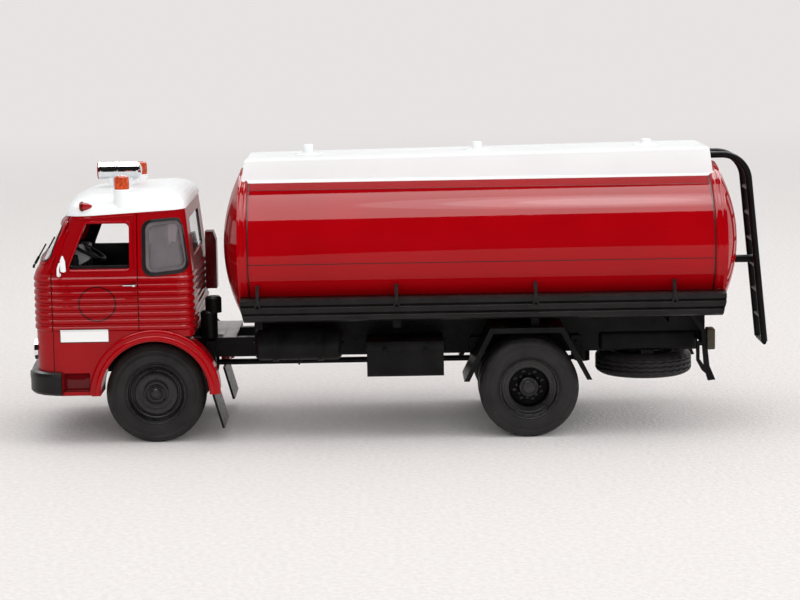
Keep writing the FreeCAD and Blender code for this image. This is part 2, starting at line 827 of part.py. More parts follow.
def rear_lamp_bar():
    """A bar across the rails' ends with a forked stay and a lamp block at each side."""
    end = RAIL_REAR
    pieces = [block("LampBar", (f"{end} + seat_gap", f"{end} + 1"), ("-stay_side", "stay_side"),
                    ("rail_top - 2.5", "rail_top - seat_gap"))]
    upright = [
        (f"{end} - 4.0", "skirt_low - seat_gap"),
        (f"{end} - 2.6", "skirt_low - seat_gap"),
        (f"{end} + 0.6", "rail_top + 1.6"),
        (f"{end} + 1.6", "rail_base - 2.6"),
        (f"{end} + 3.1", "rail_base - 6.2"),
        (f"{end} + 1.2", "rail_base - 6.4"),
        (f"{end} + 0.3", "rail_base - 3.0"),
        (f"{end} - 0.5", "rail_top + 1.2"),
    ]
    brace = [
        (f"{end} - 1.7", "rail_base + 3.6"),
        (f"{end} + 0.3", "rail_base + 3.6"),
        (f"{end} + 0.3", "rail_base + 2.6"),
        (f"{end} - 0.9", "rail_base + 2.6"),
        (f"{end} - 0.9", "rail_base - 0.8"),
        (f"{end} + 0.7", "rail_base - 3.2"),
        (f"{end} + 0.6", "rail_base - 4.6"),
        (f"{end} - 0.3", "rail_base - 3.8"),
        (f"{end} - 1.6", "rail_base - 1.4"),
    ]
    for word, side in (("Left", -1), ("Right", 1)):
        for part, points in (("Upright", upright), ("Brace", brace)):
            body = padded(f"Stay{part}{word}", "XZ_Plane", points, "2 * stay_half")
            pieces.append(placed(body, "0", f"{side} * stay_side", "0"))
        y = mirrored(side, "stay_side - lamp_block_half", "stay_side + lamp_block_half")
        pieces.append(block(f"LampBlock{word}", (f"{end} + 0.9", f"{end} + 2.7"), y,
                            ("lamp_block_low", "lamp_block_top")))
    return joined("RearLampBar", pieces)


# Tank


def oval(name, x, grow="0"):
    """An elliptical prism over the tank's section."""
    ring = doc.addObject("Part::Ellipse", name + "Ring")
    bind(ring, MajorRadius=f"tank_half + {grow}", MinorRadius=f"tank_rise + {grow}")
    prism = doc.addObject("Part::Extrusion", name)
    prism.Base = ring
    prism.DirMode = "Custom"
    prism.Dir = Vector(0, 0, 1)
    prism.Solid = True
    bind(prism, LengthFwd=f"({x[1]}) - ({x[0]})")
    prism.Placement = FreeCAD.Placement(Vector(), Rotation(Vector(0, 1, 0), Vector(0, 0, 1), Vector(1, 0, 0), "XYZ"))
    return placed(prism, x[0], "0", "tank_centre")


def tank_shell():
    """The tank turned as a drum with domed ends and end bands, then pressed to its oval section."""
    half, proud, width = size("tank_half"), size("band_proud"), size("band_width")
    front, rear = size("tank_front"), size(TANK_REAR)
    tips = {"front": front - size("front_dome"), "rear": rear + size("rear_dome")}
    heads = {}
    for end, edge in (("front", front), ("rear", rear)):
        reach = tips[end] - edge
        radius = (half ** 2 + reach ** 2) / (2 * abs(reach))
        half_angle = math.asin(half / radius) / 2
        centre = tips[end] - math.copysign(radius, reach)
        along = centre + math.copysign(radius * math.cos(half_angle), reach)
        middle = Vector(along, 0, radius * math.sin(half_angle))
        heads[end] = Part.Arc(Vector(edge, 0, half), middle, Vector(tips[end], 0, 0)).toShape()
    corners = [
        Vector(front, 0, half),
        Vector(front, 0, half + proud),
        Vector(front + width, 0, half + proud),
        Vector(front + width, 0, half),
        Vector(rear - width, 0, half),
        Vector(rear - width, 0, half + proud),
        Vector(rear, 0, half + proud),
        Vector(rear, 0, half),
    ]
    lines = [Part.LineSegment(start, end).toShape() for start, end in zip(corners, corners[1:])]
    axis = Part.LineSegment(Vector(tips["rear"], 0, 0), Vector(tips["front"], 0, 0)).toShape()
    edges = Part.sortEdges([heads["front"], *lines, heads["rear"], axis])[0]
    drum = Part.Face(Part.Wire(edges)).revolve(Vector(), Vector(1, 0, 0), 360)
    press = Matrix()
    press.scale(1, 1, size("tank_rise") / half)
    press.move(Vector(size(SHIFT), 0, size("tank_centre")))
    return fixed("TankShell", drum.transformGeometry(press))


def tank_edge(level):
    """The half-width of the tank's bands at a height, with a little room."""
    share = f"((tank_centre - {level}) / (tank_rise + band_proud))"
    return f"((tank_half + band_proud) * sqrt(1 - {share}^2) + 2 * seat_gap)"


def bracket(name, x, side):
    """A strap from the skirt up to the tank's side, with a fork over the skirt's face."""
    strap = [
        (f"{SKIRT_OUT} - skirt_bevel", "skirt_top - skirt_plate"),
        (tank_edge("bracket_top"), "bracket_top"),
        (f"{tank_edge('bracket_top')} + bracket_thick", "bracket_top"),
        (f"{SKIRT_OUT} + bracket_proud", "skirt_top - skirt_bevel"),
        (f"{SKIRT_OUT} + bracket_proud", "skirt_top - skirt_bevel - bracket_half"),
        (f"{SKIRT_OUT} - bracket_half", "skirt_top - skirt_bevel - bracket_half"),
    ]
    points = [(f"{side} * ({across})", up) for across, up in strap]
    rise = placed(padded(name + "Strap", "YZ_Plane", points, "2 * bracket_half"), x, "0", "0")
    crotch = "skirt_top - skirt_bevel - bracket_half"
    prongs = [
        ("-bracket_half", "skirt_top - skirt_bevel"),
        ("bracket_half", "skirt_top - skirt_bevel"),
        ("fork_spread + fork_half", "fork_foot"),
        ("fork_spread - fork_half", "fork_foot"),
        ("0", f"{crotch} - fork_half"),
        ("-fork_spread + fork_half", "fork_foot"),
        ("-fork_spread - fork_half", "fork_foot"),
    ]
    deep = "(groove_depth + bracket_proud)"
    fork = padded(name + "Fork", "XZ_Plane", prongs, deep)
    return [rise, placed(fork, x, f"{side} * ({SKIRT_OUT} + bracket_proud - {deep} / 2)", "0")]


def bracket_station(number):
    """The place of one of the four brackets along the tank."""
    first = "(tank_front + bracket_front_inset + skirt_inset)"
    last = f"({TANK_REAR} - bracket_rear_inset - skirt_inset)"
    return f"({first} + {number} * ({last} - {first}) / 3)"


def skirt(name, side):
    """A side skirt with two grooves, raked ends and the brackets that tie it to the tank."""
    out, low, top, plate = SKIRT_OUT, "skirt_low", "skirt_top", "skirt_plate"
    outer = [(tank_edge("skirt_top"), top), (f"{out} - skirt_bevel", top), (out, f"{top} - skirt_bevel / 2")]
    for share in (1, 2):
        middle = f"({top} - {share} * ({top} - {low}) / 3)"
        outer += [(out, f"{middle} + groove_half"), (f"{out} - groove_depth", middle),
                  (out, f"{middle} - groove_half")]
    outer += [(out, f"{low} + skirt_bevel / 2"), (f"{out} - skirt_bevel", low)]
    inner = [
        (f"{out} - skirt_flange", low),
        (f"{out} - skirt_flange", f"{low} + {plate}"),
        (f"{out} - skirt_bevel - {plate}", f"{low} + {plate}"),
        (f"{out} - skirt_bevel - {plate}", f"{top} - {plate}"),
        (tank_edge("skirt_top"), f"{top} - {plate}"),
    ]
    points = [(f"{side} * ({across})", up) for across, up in outer + inner]
    front, rear = "tank_front + skirt_inset", f"{TANK_REAR} - skirt_inset"
    strip = padded(name + "Strip", "YZ_Plane", points, f"{rear} - ({front})")
    placed(strip, f"({front} + {rear}) / 2", "0", "0")
    ends = [
        (front, top),
        (front, f"{low} + skirt_cut_rise"),
        (f"{front} + skirt_cut", low),
        (f"{rear} - skirt_cut", low),
        (rear, f"{low} + skirt_cut_rise"),
        (rear, top),
    ]
    rake = placed(padded(name + "Rake", "XZ_Plane", ends, f"3 * {out}"), "0", "0", "0")
    pieces = [shared(name + "Raked", [strip, rake])]
    for number in range(4):
        pieces += bracket(f"{name}Bracket{number}", bracket_station(number), side)
    return joined(name, pieces)


def cradle():
    """A trough on the rails that carries the tank, with saddles under the skirts' brackets."""
    front, rear = "tank_front + cradle_inset", f"{RAIL_REAR} + cradle_overrun"
    points = [
        (front, "rail_top + seat_gap"),
        (rear, "rail_top + seat_gap"),
        (rear, "cradle_top"),
        (front, "cradle_top"),
    ]
    pieces = [placed(padded("CradleBed", "XZ_Plane", points, "2 * cradle_half"), "0", "0", "0")]
    for number in range(4):
        x = bracket_station(number)
        pieces.append(block(f"Saddle{number}", (f"{x} - saddle_half", f"{x} + saddle_half"),
                            (f"-({SKIRT_OUT} - saddle_inset)", f"{SKIRT_OUT} - saddle_inset"),
                            ("guard_top + seat_gap", "skirt_low - seat_gap")))
    whole = joined("CradleWhole", pieces)
    tool = oval("CradleTool", ("tank_front", TANK_REAR), "seat_gap")
    return less("Cradle", whole, tool)


def walkway():
    """The tapered coaming along the tank's back, rising to the rear."""
    base = "tank_centre + tank_rise * 0.8"
    points = [
        (WALKWAY_FRONT, base),
        (WALKWAY_REAR, base),
        (f"{WALKWAY_REAR} - walkway_taper", f"{WALKWAY_TOP} + walkway_rise"),
        (f"{WALKWAY_FRONT} + walkway_taper", WALKWAY_TOP),
    ]
    body = placed(padded("WalkwayBody", "XZ_Plane", points, "walkway_half * 2"), "0", "0", "0")
    round_above(body, "walkway_round", WALKWAY_TOP)
    reach = ("tank_front - 2 * front_dome", f"{TANK_REAR} + 2 * rear_dome")
    tool = oval("WalkwayTool", reach, "band_proud + seat_gap")
    return less("Walkway", body, tool)


def round_above(body, radius, level):
    """Round those edges of a body that lie no lower than a level."""
    doc.recompute()
    solid = body.Tip
    top = size(level) - size("seat_gap")
    edges = [f"Edge{number}" for number, edge in enumerate(solid.Shape.Edges, 1) if edge.BoundBox.ZMin > top]
    fillet = body.newObject("PartDesign::Fillet", body.Name + "Round")
    fillet.Base = (solid, edges)
    bind(fillet, Radius=radius)
    body.Tip = fillet


def hatch(number):
    """A manhole lid with a knob, on the sloping walkway."""
    first = f"({WALKWAY_FRONT} + hatch_front_inset)"
    last = f"({WALKWAY_REAR} - hatch_rear_inset)"
    x = f"({first} + {number} * ({last} - {first}) / 2)"
    run = f"({WALKWAY_REAR} - {WALKWAY_FRONT} - 2 * walkway_taper)"
    share = f"({x} + hatch_radius - {WALKWAY_FRONT} - walkway_taper) / {run}"
    low = f"({WALKWAY_TOP} + walkway_rise * {share} + seat_gap)"
    top = f"({WALKWAY_TOP} + walkway_rise + hatch_rise)"
    points = [
        ("0", low),
        ("hatch_radius", low),
        ("hatch_radius", f"{low} + hatch_plate"),
        ("knob_radius", f"{low} + 2 * hatch_plate"),
        ("knob_radius", f"{top} - knob_bevel"),
        ("knob_radius - knob_bevel", top),
        ("0", top),
    ]
    return placed(turned(f"Hatch{number}", points, plane="XZ_Plane", axis="V_Axis"), x, "0", "0")


def ladder():
    """Two bent stringers, their rungs and the stay to the tank's rear dome."""
    half, tube, rung = size("ladder_half"), size("ladder_tube"), size("rung_tube")
    level = size(f"{WALKWAY_TOP} - ladder_drop")
    foot = Vector(size(f"{REAR_REACH} - ladder_tube"), 0, size("ladder_foot"))
    start = Vector(size(f"{WALKWAY_REAR} + seat_gap"), 0, level)
    knee = Vector(size(f"{TANK_REAR} + ladder_reach"), 0, level)
    along, down = (knee - start).normalize(), (foot - knee).normalize()
    turn = math.acos(along.dot(down))
    bend = size("ladder_bend")
    back = bend * math.tan(turn / 2)
    enter, leave = knee - along * back, knee + down * back
    inward = (down - along).normalize()
    middle = knee + inward * (bend / math.cos(turn / 2) - bend)
    shapes = []
    for y in (-half, half):
        path = Part.Wire([Part.LineSegment(start, enter).toShape(), Part.Arc(enter, middle, leave).toShape(),
                          Part.LineSegment(leave, foot).toShape()])
        ring = Part.Wire([Part.Circle(start, along, tube).toShape()])
        stringer = path.makePipeShell([ring], True, False)
        stringer.translate(Vector(0, y, 0))
        shapes.append(stringer)
    drops = [size("rung_pitch") * (number + 0.4) for number in range(int(size("rung_count")))]
    stay_height = size("ladder_stay_height")
    drops.append((leave.z - stay_height) / -down.z)
    for drop in drops:
        spot = leave + down * drop
        shapes.append(Part.makeCylinder(rung, 2 * half, Vector(spot.x, -half, spot.z), Vector(0, 1, 0)))
    radius = size("(tank_half^2 + rear_dome^2) / (2 * rear_dome)")
    lift = (stay_height - size("tank_centre")) * size("tank_half / tank_rise")
    dome = size(f"{TANK_REAR} + rear_dome") - radius + math.sqrt(radius ** 2 - lift ** 2)
    tip = dome + 3 * size("seat_gap")
    shapes.append(Part.makeCylinder(size("ladder_stay"), spot.x - tip, Vector(tip, 0, stay_height), Vector(1, 0, 0)))
    whole = shapes[0].fuse(shapes[1:])
    whole.translate(Vector(size(SHIFT), 0, 0))
    return fixed("Ladder", whole)


def tank():
    """Tank, its cradle, skirts, walkway, hatches and ladder."""
    node("tank_shell", tank_shell())
    node("tank_cradle", cradle())
    for word, side in (("left", -1), ("right", 1)):
        node(f"side_skirt_{word}", skirt(f"Skirt{word}", side))
    node("walkway", walkway())
    node("hatches", group("Hatches", [hatch(number) for number in range(3)]))
    node("ladder", ladder())


# Cab


def plan(level, front, rear, half, grow=0.0):
    """The cab's rounded outline at one height, as a closed wire of lines and arcs."""
    nose, tail, side = -front - grow, rear + grow, half + grow
    ahead, behind = size("front_corner") + grow, size("rear_corner") + grow
    ahead, behind = max(ahead, 0.5), max(behind, 0.5)
    bow = size("cab_bow")
    diagonal = 1 - math.sqrt(0.5)
    spots = {
        "tail left": Vector(tail, -(side - behind), level),
        "left rear": Vector(tail - behind, -side, level),
        "left front": Vector(nose + ahead, -side, level),
        "nose left": Vector(nose, -(side - ahead), level),
        "nose right": Vector(nose, side - ahead, level),
        "right front": Vector(nose + ahead, side, level),
        "right rear": Vector(tail - behind, side, level),
        "tail right": Vector(tail, side - behind, level),
    }
    rear_left = Vector(tail - behind * diagonal, -(side - behind * diagonal), level)
    front_left = Vector(nose + ahead * diagonal, -(side - ahead * diagonal), level)
    front_right = Vector(front_left.x, -front_left.y, level)
    rear_right = Vector(rear_left.x, -rear_left.y, level)
    edges = [
        Part.LineSegment(spots["tail right"], spots["tail left"]),
        Part.Arc(spots["tail left"], rear_left, spots["left rear"]),
        Part.LineSegment(spots["left rear"], spots["left front"]),
        Part.Arc(spots["left front"], front_left, spots["nose left"]),
        Part.Arc(spots["nose left"], Vector(nose - bow, 0, level), spots["nose right"]),
        Part.Arc(spots["nose right"], front_right, spots["right front"]),
        Part.LineSegment(spots["right front"], spots["right rear"]),
        Part.Arc(spots["right rear"], rear_right, spots["tail right"]),
    ]
    return Part.Wire([edge.toShape() for edge in edges])


def belt_plan(level, grow=0.0):
    """The outline of the cab below its belt."""
    return plan(level, size("cab_front"), size("cab_rear"), size("cab_side"), grow)


def roof_plan(rise, grow=0.0):
    """The outline at the roof line, tilted up towards the rear, raised by rise."""
    wire = plan(size("roof_line") + rise, size("roof_front"), size("roof_rear"), size("roof_side"), grow)
    wire.rotate(Vector(-size("roof_front"), 0, size("roof_line")), Vector(0, 1, 0), -size("roof_tilt"))
    return wire


def lower_cab(grow, ribbed):
    """The cab below its belt, with or without the ribs pressed round it."""
    levels = [(size("cab_foot"), grow)]
    if ribbed:
        pitch, rise = size("rib_pitch"), size("rib_rise")
        for number in range(int(size("rib_count"))):
            middle = size("rib_first") + number * pitch
            levels += [(middle - 0.42 * pitch, grow), (middle - 0.18 * pitch, grow + rise),
                       (middle + 0.18 * pitch, grow + rise), (middle + 0.42 * pitch, grow)]
    levels.append((size("belt"), grow))
    return Part.makeLoft([belt_plan(level, reach) for level, reach in levels], True, True)


def upper_cab(grow):
    """The window storey, from the belt to the roof line."""
    return Part.makeLoft([belt_plan(size("belt"), grow), roof_plan(0, grow)], True, True)


def cab_solid(grow, ribbed=False):
    return lower_cab(grow, ribbed).fuse(upper_cab(grow))


def prism(points, radii, low, high, axis):
    """A prism whose corners are rounded by radii: points lie in XZ for axis Y, in YZ for axis X."""
    flat = [Vector(a, b, 0) for a, b in points]
    edges = []
    ends = []
    for number, corner in enumerate(flat):
        before, after = (flat[number - 1] - corner), (flat[(number + 1) % len(flat)] - corner)
        before.normalize()
        after.normalize()
        half = before.getAngle(after) / 2
        radius = max(radii[number], 0.05)
        back = radius / math.tan(half)
        inward = (before + after).normalize()
        middle = corner + inward * (radius / math.sin(half) - radius)
        ends.append((corner + before * back, corner + after * back))
        edges.append(Part.Arc(ends[-1][0], middle, ends[-1][1]).toShape())
    for number in range(len(flat)):
        edges.append(Part.LineSegment(ends[number - 1][1], ends[number][0]).toShape())
    face = Part.Face(Part.Wire(Part.sortEdges(edges)[0]))
    if axis == "Y":
        turn = Matrix(1, 0, 0, 0, 0, 0, 1, 0, 0, 1, 0, 0, 0, 0, 0, 1)
        start, travel = Vector(0, low, 0), Vector(0, high - low, 0)
    else:
        turn = Matrix(0, 0, 1, 0, 1, 0, 0, 0, 0, 1, 0, 0, 0, 0, 0, 1)
        start, travel = Vector(low, 0, 0), Vector(high - low, 0, 0)
    return face.transformShape(turn, True).translated(start).extrude(travel)


def even(radius, shrink, corners=4):
    """The same radius for each corner, less what the outline is shrunk by."""
    return [radius - shrink] * corners


def door_window(shrink=0.0):
    """The opening through both doors, with its upper rear corner rounded."""
    points = [(-size("door_window_front") + shrink, size("window_sill") + shrink),
              (-size("door_window_rear") - shrink, size("window_sill") + shrink),
              (-size("door_window_rear") - shrink, size("window_head") - shrink),
              (-size("door_window_top_front") + shrink, size("window_head") - shrink)]
    large = size("door_window_round") - shrink
    return prism(points, [large / 4, large / 4, large, large / 2], -40, 40, "Y")


def quarter_window(side, shrink=0.0):
    """The opening behind a door, wrapped round the cab's rear corner."""
    edge = size("cab_rear - quarter_inset") - shrink
    top_edge = size("roof_rear - quarter_inset") - shrink
    points = [(-size("quarter_front") + shrink, size("quarter_sill") + shrink),
              (edge, size("quarter_sill + 2 * quarter_inset") + shrink),
              (top_edge, size("quarter_head + quarter_inset") - shrink),
              (-size("quarter_front") + shrink, size("quarter_head") - shrink)]
    low, high = sorted((side * size("cab_side - quarter_depth"), side * 40))
    return prism(points, even(size("quarter_round"), shrink), low, high, "Y")


def windscreen_window(shrink=0.0):
    """The opening of the windscreen, wrapped round the front corners as far as the pillars."""
    half, head_half = size("windscreen_half") - shrink, size("windscreen_head_half") - shrink
    low, high = size("windscreen_sill") + shrink, size("windscreen_head") - shrink
    points = [(-half, low), (half, low), (head_half, high), (-head_half, high)]
    opening = prism(points, even(size("windscreen_round"), shrink), -40, 0, "X")
    belt, line = size("belt"), size("roof_line")
    limits = [Vector(-40, -40, belt), Vector(-size("pillar_low"), -40, belt), Vector(-size("pillar_top"), -40, line),
              Vector(-40, -40, line)]
    ahead = Part.Face(Part.makePolygon(limits + limits[:1])).extrude(Vector(0, 80, 0))
    return opening.common(ahead)


def rear_window(shrink=0.0):
    """The opening in the cab's rear wall."""
    half = size("rear_window_half") - shrink
    low, high = size("window_sill + rear_window_lift") + shrink, size("window_head") - shrink
    points = [(-half, low), (half, low), (half, high), (-half, high)]
    return prism(points, even(size("rear_window_round"), shrink), 2, 20, "X")


def fender(side):
    """The flared ring over a front wheel."""
    centre = size("tyre_radius")
    inner, outer = size("arch_radius"), size("arch_radius + arch_lip")
    low, high = sorted((side * size("fender_in"), side * size(FENDER_OUT)))
    ring = Part.makeCylinder(outer, high - low, Vector(0, low, centre), Vector(0, 1, 0))
    ring = ring.cut(Part.makeCylinder(inner, high - low + 2, Vector(0, low - 1, centre), Vector(0, 1, 0)))
    return ring.cut(Part.makeBox(60, 90, 30, Vector(-30, -45, centre - 30)))


def door_gaps():
    """Thin grooves round the doors: down the pillars and in front of the quarter windows."""
    half = size("door_gap") / 2
    foot, belt, line = size("step_top"), size("belt"), size("roof_line")
    band = cab_solid(1.0).cut(cab_solid(-size("door_gap_depth")))
    grooves = []
    for low, top in (("door_front", "door_top_front"), ("door_rear", "door_rear")):
        spine = [(-size(low), foot), (-size(low), belt), (-size(top), line)]
        ahead = [Vector(x - half, -40, z) for x, z in spine]
        behind = [Vector(x + half, -40, z) for x, z in reversed(spine)]
        slab = Part.Face(Part.makePolygon(ahead + behind + ahead[:1])).extrude(Vector(0, 80, 0))
        grooves.append(band.common(slab))
    return grooves


def step_recess(side):
    """The sunk step in the cab's side behind the bumper."""
    low, high = sorted((side * size("cab_side - step_depth"), side * 40))
    return Part.makeBox(size("step_front - step_rear"), high - low, size("step_top - step_low"),
                        Vector(-size("step_front"), low, size("step_low")))


def arch_cut(side):
    """The space of a front wheel inside its fender."""
    low, high = sorted((side * (size("fender_in") - 0.01), side * 40))
    return Part.makeCylinder(size("arch_radius"), high - low, Vector(0, low, size("tyre_radius")), Vector(0, 1, 0))


def cab_body():
    """The cab's shell: ribbed skin, cut windows, wheel arches, flared fenders, door gaps and steps."""
    shell = cab_solid(0, True).cut(cab_solid(-size("cab_wall")))
    foot, wall_foot = size("cab_foot"), size("rear_wall_foot")
    shell = shell.cut(Part.makeBox(60, 80, wall_foot - foot + 5, Vector(0, -40, foot - 5)))
    shell = shell.cut(Part.makeBox(100, 80, 4, Vector(-50, -40, foot - 4)))
    for side in (-1, 1):
        shell = shell.fuse(fender(side))
    for side in (-1, 1):
        shell = shell.cut(arch_cut(side)).cut(quarter_window(side)).cut(step_recess(side))
    shell = shell.cut(door_window()).cut(windscreen_window()).cut(rear_window())
    shell = shell.cut(grille_space(0))
    for groove in door_gaps():
        shell = shell.cut(groove)
    shell.translate(Vector(size(SHIFT), 0, 0))
    return fixed("CabBody", shell.removeSplitter())


def grille_space(shrink):
    """The opening in the front panel for the grille."""
    half = size("grille_half") - shrink
    low, high = size("grille_low") + shrink, size("grille_top") - shrink
    points = [(-half, low), (half, low), (half, high), (-half, high)]
    return prism(points, even(size("grille_round"), 0), -40, -20, "X")


def seals(name, rings):
    """Rubber frames inside window openings, a little proud of the skin."""
    skin = cab_solid(size("seal_proud")).cut(cab_solid(-size("cab_wall")))
    pieces = [skin.common(outer.cut(inner)) for outer, inner in rings]
    shape = pieces[0] if len(pieces) == 1 else Part.makeCompound(pieces)
    shape.translate(Vector(size(SHIFT), 0, 0))
    return fixed(name, shape)


def pane(name, tools):
    """Glass that follows the cab's skin inside its opening."""
    inset, thick = size("glass_inset"), size("glass_thick")
    skin = cab_solid(-inset).cut(cab_solid(-inset - thick))
    pieces = [skin.common(tool) for tool in tools]
    shape = pieces[0] if len(pieces) == 1 else Part.makeCompound(pieces)
    shape.translate(Vector(size(SHIFT), 0, 0))
    return fixed(name, shape)


def roof_solid(drop=0.0, shrink=0.0):
    """The roof's pillow: the roof line's outline, shrunk towards its middle as it rises."""
    crown = size("roof_crown") - drop
    middle = Vector(size("(roof_rear - roof_front) / 2"), 0, 0)
    layers = []
    for share in (1.0, 0.997, 0.98, 0.95, 0.9, 0.82, 0.7, 0.55):
        rise = crown * math.sqrt(1 - share ** 4)
        wire = plan(0, size("roof_front"), size("roof_rear"), size("roof_side"), size("roof_eave") - shrink)
        stretch = Matrix()
        stretch.move(-middle)
        stretch.scale(share, share, 1)
        stretch.move(middle + Vector(0, 0, size("roof_line") + rise))
        wire = wire.transformGeometry(stretch) if share < 1 else wire.translated(Vector(0, 0, size("roof_line")))
        wire.rotate(Vector(-size("roof_front"), 0, size("roof_line")), Vector(0, 1, 0), -size("roof_tilt"))
        layers.append(wire)
    return Part.makeLoft(layers, True, True)


def roof_shell():
    """The pillow of the roof, hollow like the cab below it."""
    wall = size("cab_wall")
    shape = roof_solid().cut(roof_solid(wall, wall + size("roof_eave")))
    shape.translate(Vector(size(SHIFT), 0, size("seat_gap")))
    return fixed("RoofShell", shape)


def bumper():
    """A deep bumper with rolled edges that follows the cab's nose and wraps its corners."""
    low, top, out, roll = size("bumper_low"), size("bumper_top"), size("bumper_out"), size("bumper_round")
    levels = [(low, out - roll / 2), (low + roll / 2, out), (top - roll, out), (top - roll / 3, out - roll / 3),
              (top, out - roll)]
    bar = Part.makeLoft([belt_plan(level, grow) for level, grow in levels], True, True)
    inside = Part.Face(belt_plan(low - 1, size("seat_gap"))).extrude(Vector(0, 0, top - low + 2))
    bar = bar.cut(inside)
    bar = bar.cut(Part.makeBox(90, 90, 20, Vector(-size("bumper_return"), -45, low - 5)))
    reach = size("front_reach - cab_front")
    for side in (-1, 1):
        tip = Vector(-size("front_reach"), side * size("nub_side"), (low + top) / 2)
        nub = Part.makeCylinder(size("nub_radius"), reach, tip, Vector(1, 0, 0))
        bar = bar.fuse(nub.cut(inside))
    bar.translate(Vector(size(SHIFT), 0, 0))
    return fixed("Bumper", bar)


def grille():
    """A framed grille of horizontal bars in the front panel."""
    back = grille_space(size("seat_gap"))
    skin = cab_solid(0).cut(cab_solid(-size("grille_thick")))
    frame = skin.common(back)
    half = size("grille_half - grille_frame")
    low, top = size("grille_low + grille_frame"), size("grille_top - grille_frame")
    count = int(size("grille_count"))
    pitch = (top - low) / count
    for number in range(count):
        slot = Part.makeBox(30, 2 * half, pitch * 0.55, Vector(-45, -half, low + number * pitch + pitch * 0.22))
        frame = frame.cut(slot)
    frame.translate(Vector(size(SHIFT), 0, 0))
    return fixed("Grille", frame)


def headlamps():
    """Two round lamps on the front panel's corners."""
    pieces = []
    for side in (-1, 1):
        front = Vector(-size("cab_front + lamp_proud"), side * size("lamp_side"), size("lamp_height"))
        lamp = Part.makeCylinder(size("lamp_radius"), size("lamp_depth"), front, Vector(1, 0, 0))
        pieces.append(lamp.cut(cab_solid(size("seat_gap"))))
    shape = Part.makeCompound(pieces)
    shape.translate(Vector(size(SHIFT), 0, 0))
    return fixed("Headlamps", shape)


def cab_inside():
    """Floor tub with its engine tunnel, seats, dashboard and steering wheel."""
    gap = "cab_wall + seat_gap"
    level = size(FLOOR)
    plate = Part.Face(belt_plan(level, -size(gap))).extrude(Vector(0, 0, size("floor_thick")))
    floor = fixed("CabFloorPlate", plate.translated(Vector(size(SHIFT), 0, 0)))
    tunnel = block("Tunnel", ("-dash_rear + 1", f"cab_rear - ({gap})"), ("-tunnel_half", "tunnel_half"),
                   (FLOOR, "tunnel_top"))
    node("cab_floor", joined("CabFloor", [floor, tunnel]))
    low = f"{FLOOR} + floor_thick + seat_gap"
    seats = []
    for word, side in (("Left", -1), ("Right", 1)):
        y = mirrored(side, "seat_centre - seat_half", "seat_centre + seat_half")
        cushion = block(f"Cushion{word}", ("-seat_front", "seat_rear"), y, (low, "seat_top"))
        back = block(f"Back{word}", ("seat_rear - seat_back_thick", "seat_rear"), y, ("seat_top", "seat_back_top"))
        seats.append(joined(f"Seat{word}", [cushion, back]))
    node("seats", group("Seats", seats))
    dash = block("Dash", ("-dash_front", "-dash_rear"), ("-dash_half", "dash_half"), ("dash_low", "dash_top"))
    foot = block("DashFoot", ("-dash_front", "-dash_front + dash_foot_deep"), ("-dash_foot_half", "dash_foot_half"),
                 (low, "dash_low"))
    node("dashboard", joined("Dashboard", [dash, foot]))
    node("steering_wheel", steering_wheel())


def steering_wheel():
    """A flat-set rim with spokes on a raked column that ends at the dashboard."""
    centre = Vector(-size("steering_station"), -size("seat_centre"), size("steering_height"))
    lean = Vector(-size("steering_lean"), 0, -1).normalize()
    radius, bar, column_radius = size("steering_radius"), size("steering_bar"), size("column_radius")
    turns = [math.radians(60 * corner) for corner in range(6)]
    section = [Vector(radius + bar * math.cos(turn), 0, bar * math.sin(turn)) for turn in turns]
    rim = Part.Face(Part.makePolygon(section + section[:1])).revolve(Vector(), Vector(0, 0, 1), 360)
    spokes = []
    for angle in (90, 210, 330):
        spoke = Part.makeBox(radius, 2 * bar, bar, Vector(0, -bar, -bar / 2))
        spoke.rotate(Vector(), Vector(0, 0, 1), angle)
        spokes.append(spoke)
    boss = Part.makeCylinder(2 * bar, 3 * bar, Vector(0, 0, -1.5 * bar))
    wheel = rim.fuse(spokes + [boss])
    wheel.Placement = FreeCAD.Placement(centre, Rotation(Vector(0, 0, -1), lean))
    dash_face = -size("dash_rear - seat_gap")
    column = Part.makeCylinder(column_radius, (dash_face - centre.x) / lean.x + 2, centre, lean)
    column = column.cut(Part.makeBox(20, 80, 80, Vector(dash_face - 20, -40, 0)))
    whole = wheel.fuse(column)
    whole.translate(Vector(size(SHIFT), 0, 0))
    return fixed("SteeringWheel", whole)


def trim():
    """Mirrors, wipers, handles, lamps and the roof's warning set."""
    node("mirrors", mirrors())
    node("wipers", wipers())
    handles, bases, lenses = [], [], []
    for word, side in (("Left", -1), ("Right", 1)):
        y = mirrored(side, "cab_side + rib_rise + seat_gap", "cab_side + rib_rise + handle_proud")
        handles.append(block(f"Handle{word}", ("-handle_front", "-handle_rear"), y, ("handle_low", "handle_top")))
        bases.append(beacon_base(f"BeaconBase{word}", side))
        lenses.append(round_bar(f"BeaconLens{word}", "Z", "beacon_radius",
                                ("beacon_foot + seat_gap", "beacon_foot + beacon_height"),
                                ("-beacon_station", f"{side} * beacon_side")))
    node("door_handles", group("DoorHandles", handles))
    node("beacon_bases", group("BeaconBases", bases))
    node("beacon_lenses", group("BeaconLenses", lenses))
    node("roof_marker_lamps", marker_lamps())
    node("siren", siren())


def over_roof():
    """The roof's outer form, lifted clear of the shell for what stands on it."""
    return roof_solid().translated(Vector(0, 0, 2 * size("seat_gap")))


def beacon_base(name, side):
    """A short post from the roof's flank up to a beacon."""
    top, line = size("beacon_foot"), size("roof_line")
    post = Part.makeCylinder(size("beacon_radius + beacon_lip"), top - line,
                             Vector(-size("beacon_station"), side * size("beacon_side"), line))
    post = post.cut(over_roof())
    post = max(post.Solids, key=lambda piece: piece.CenterOfMass.z)
    return fixed(name, post.translated(Vector(size(SHIFT), 0, 0)))


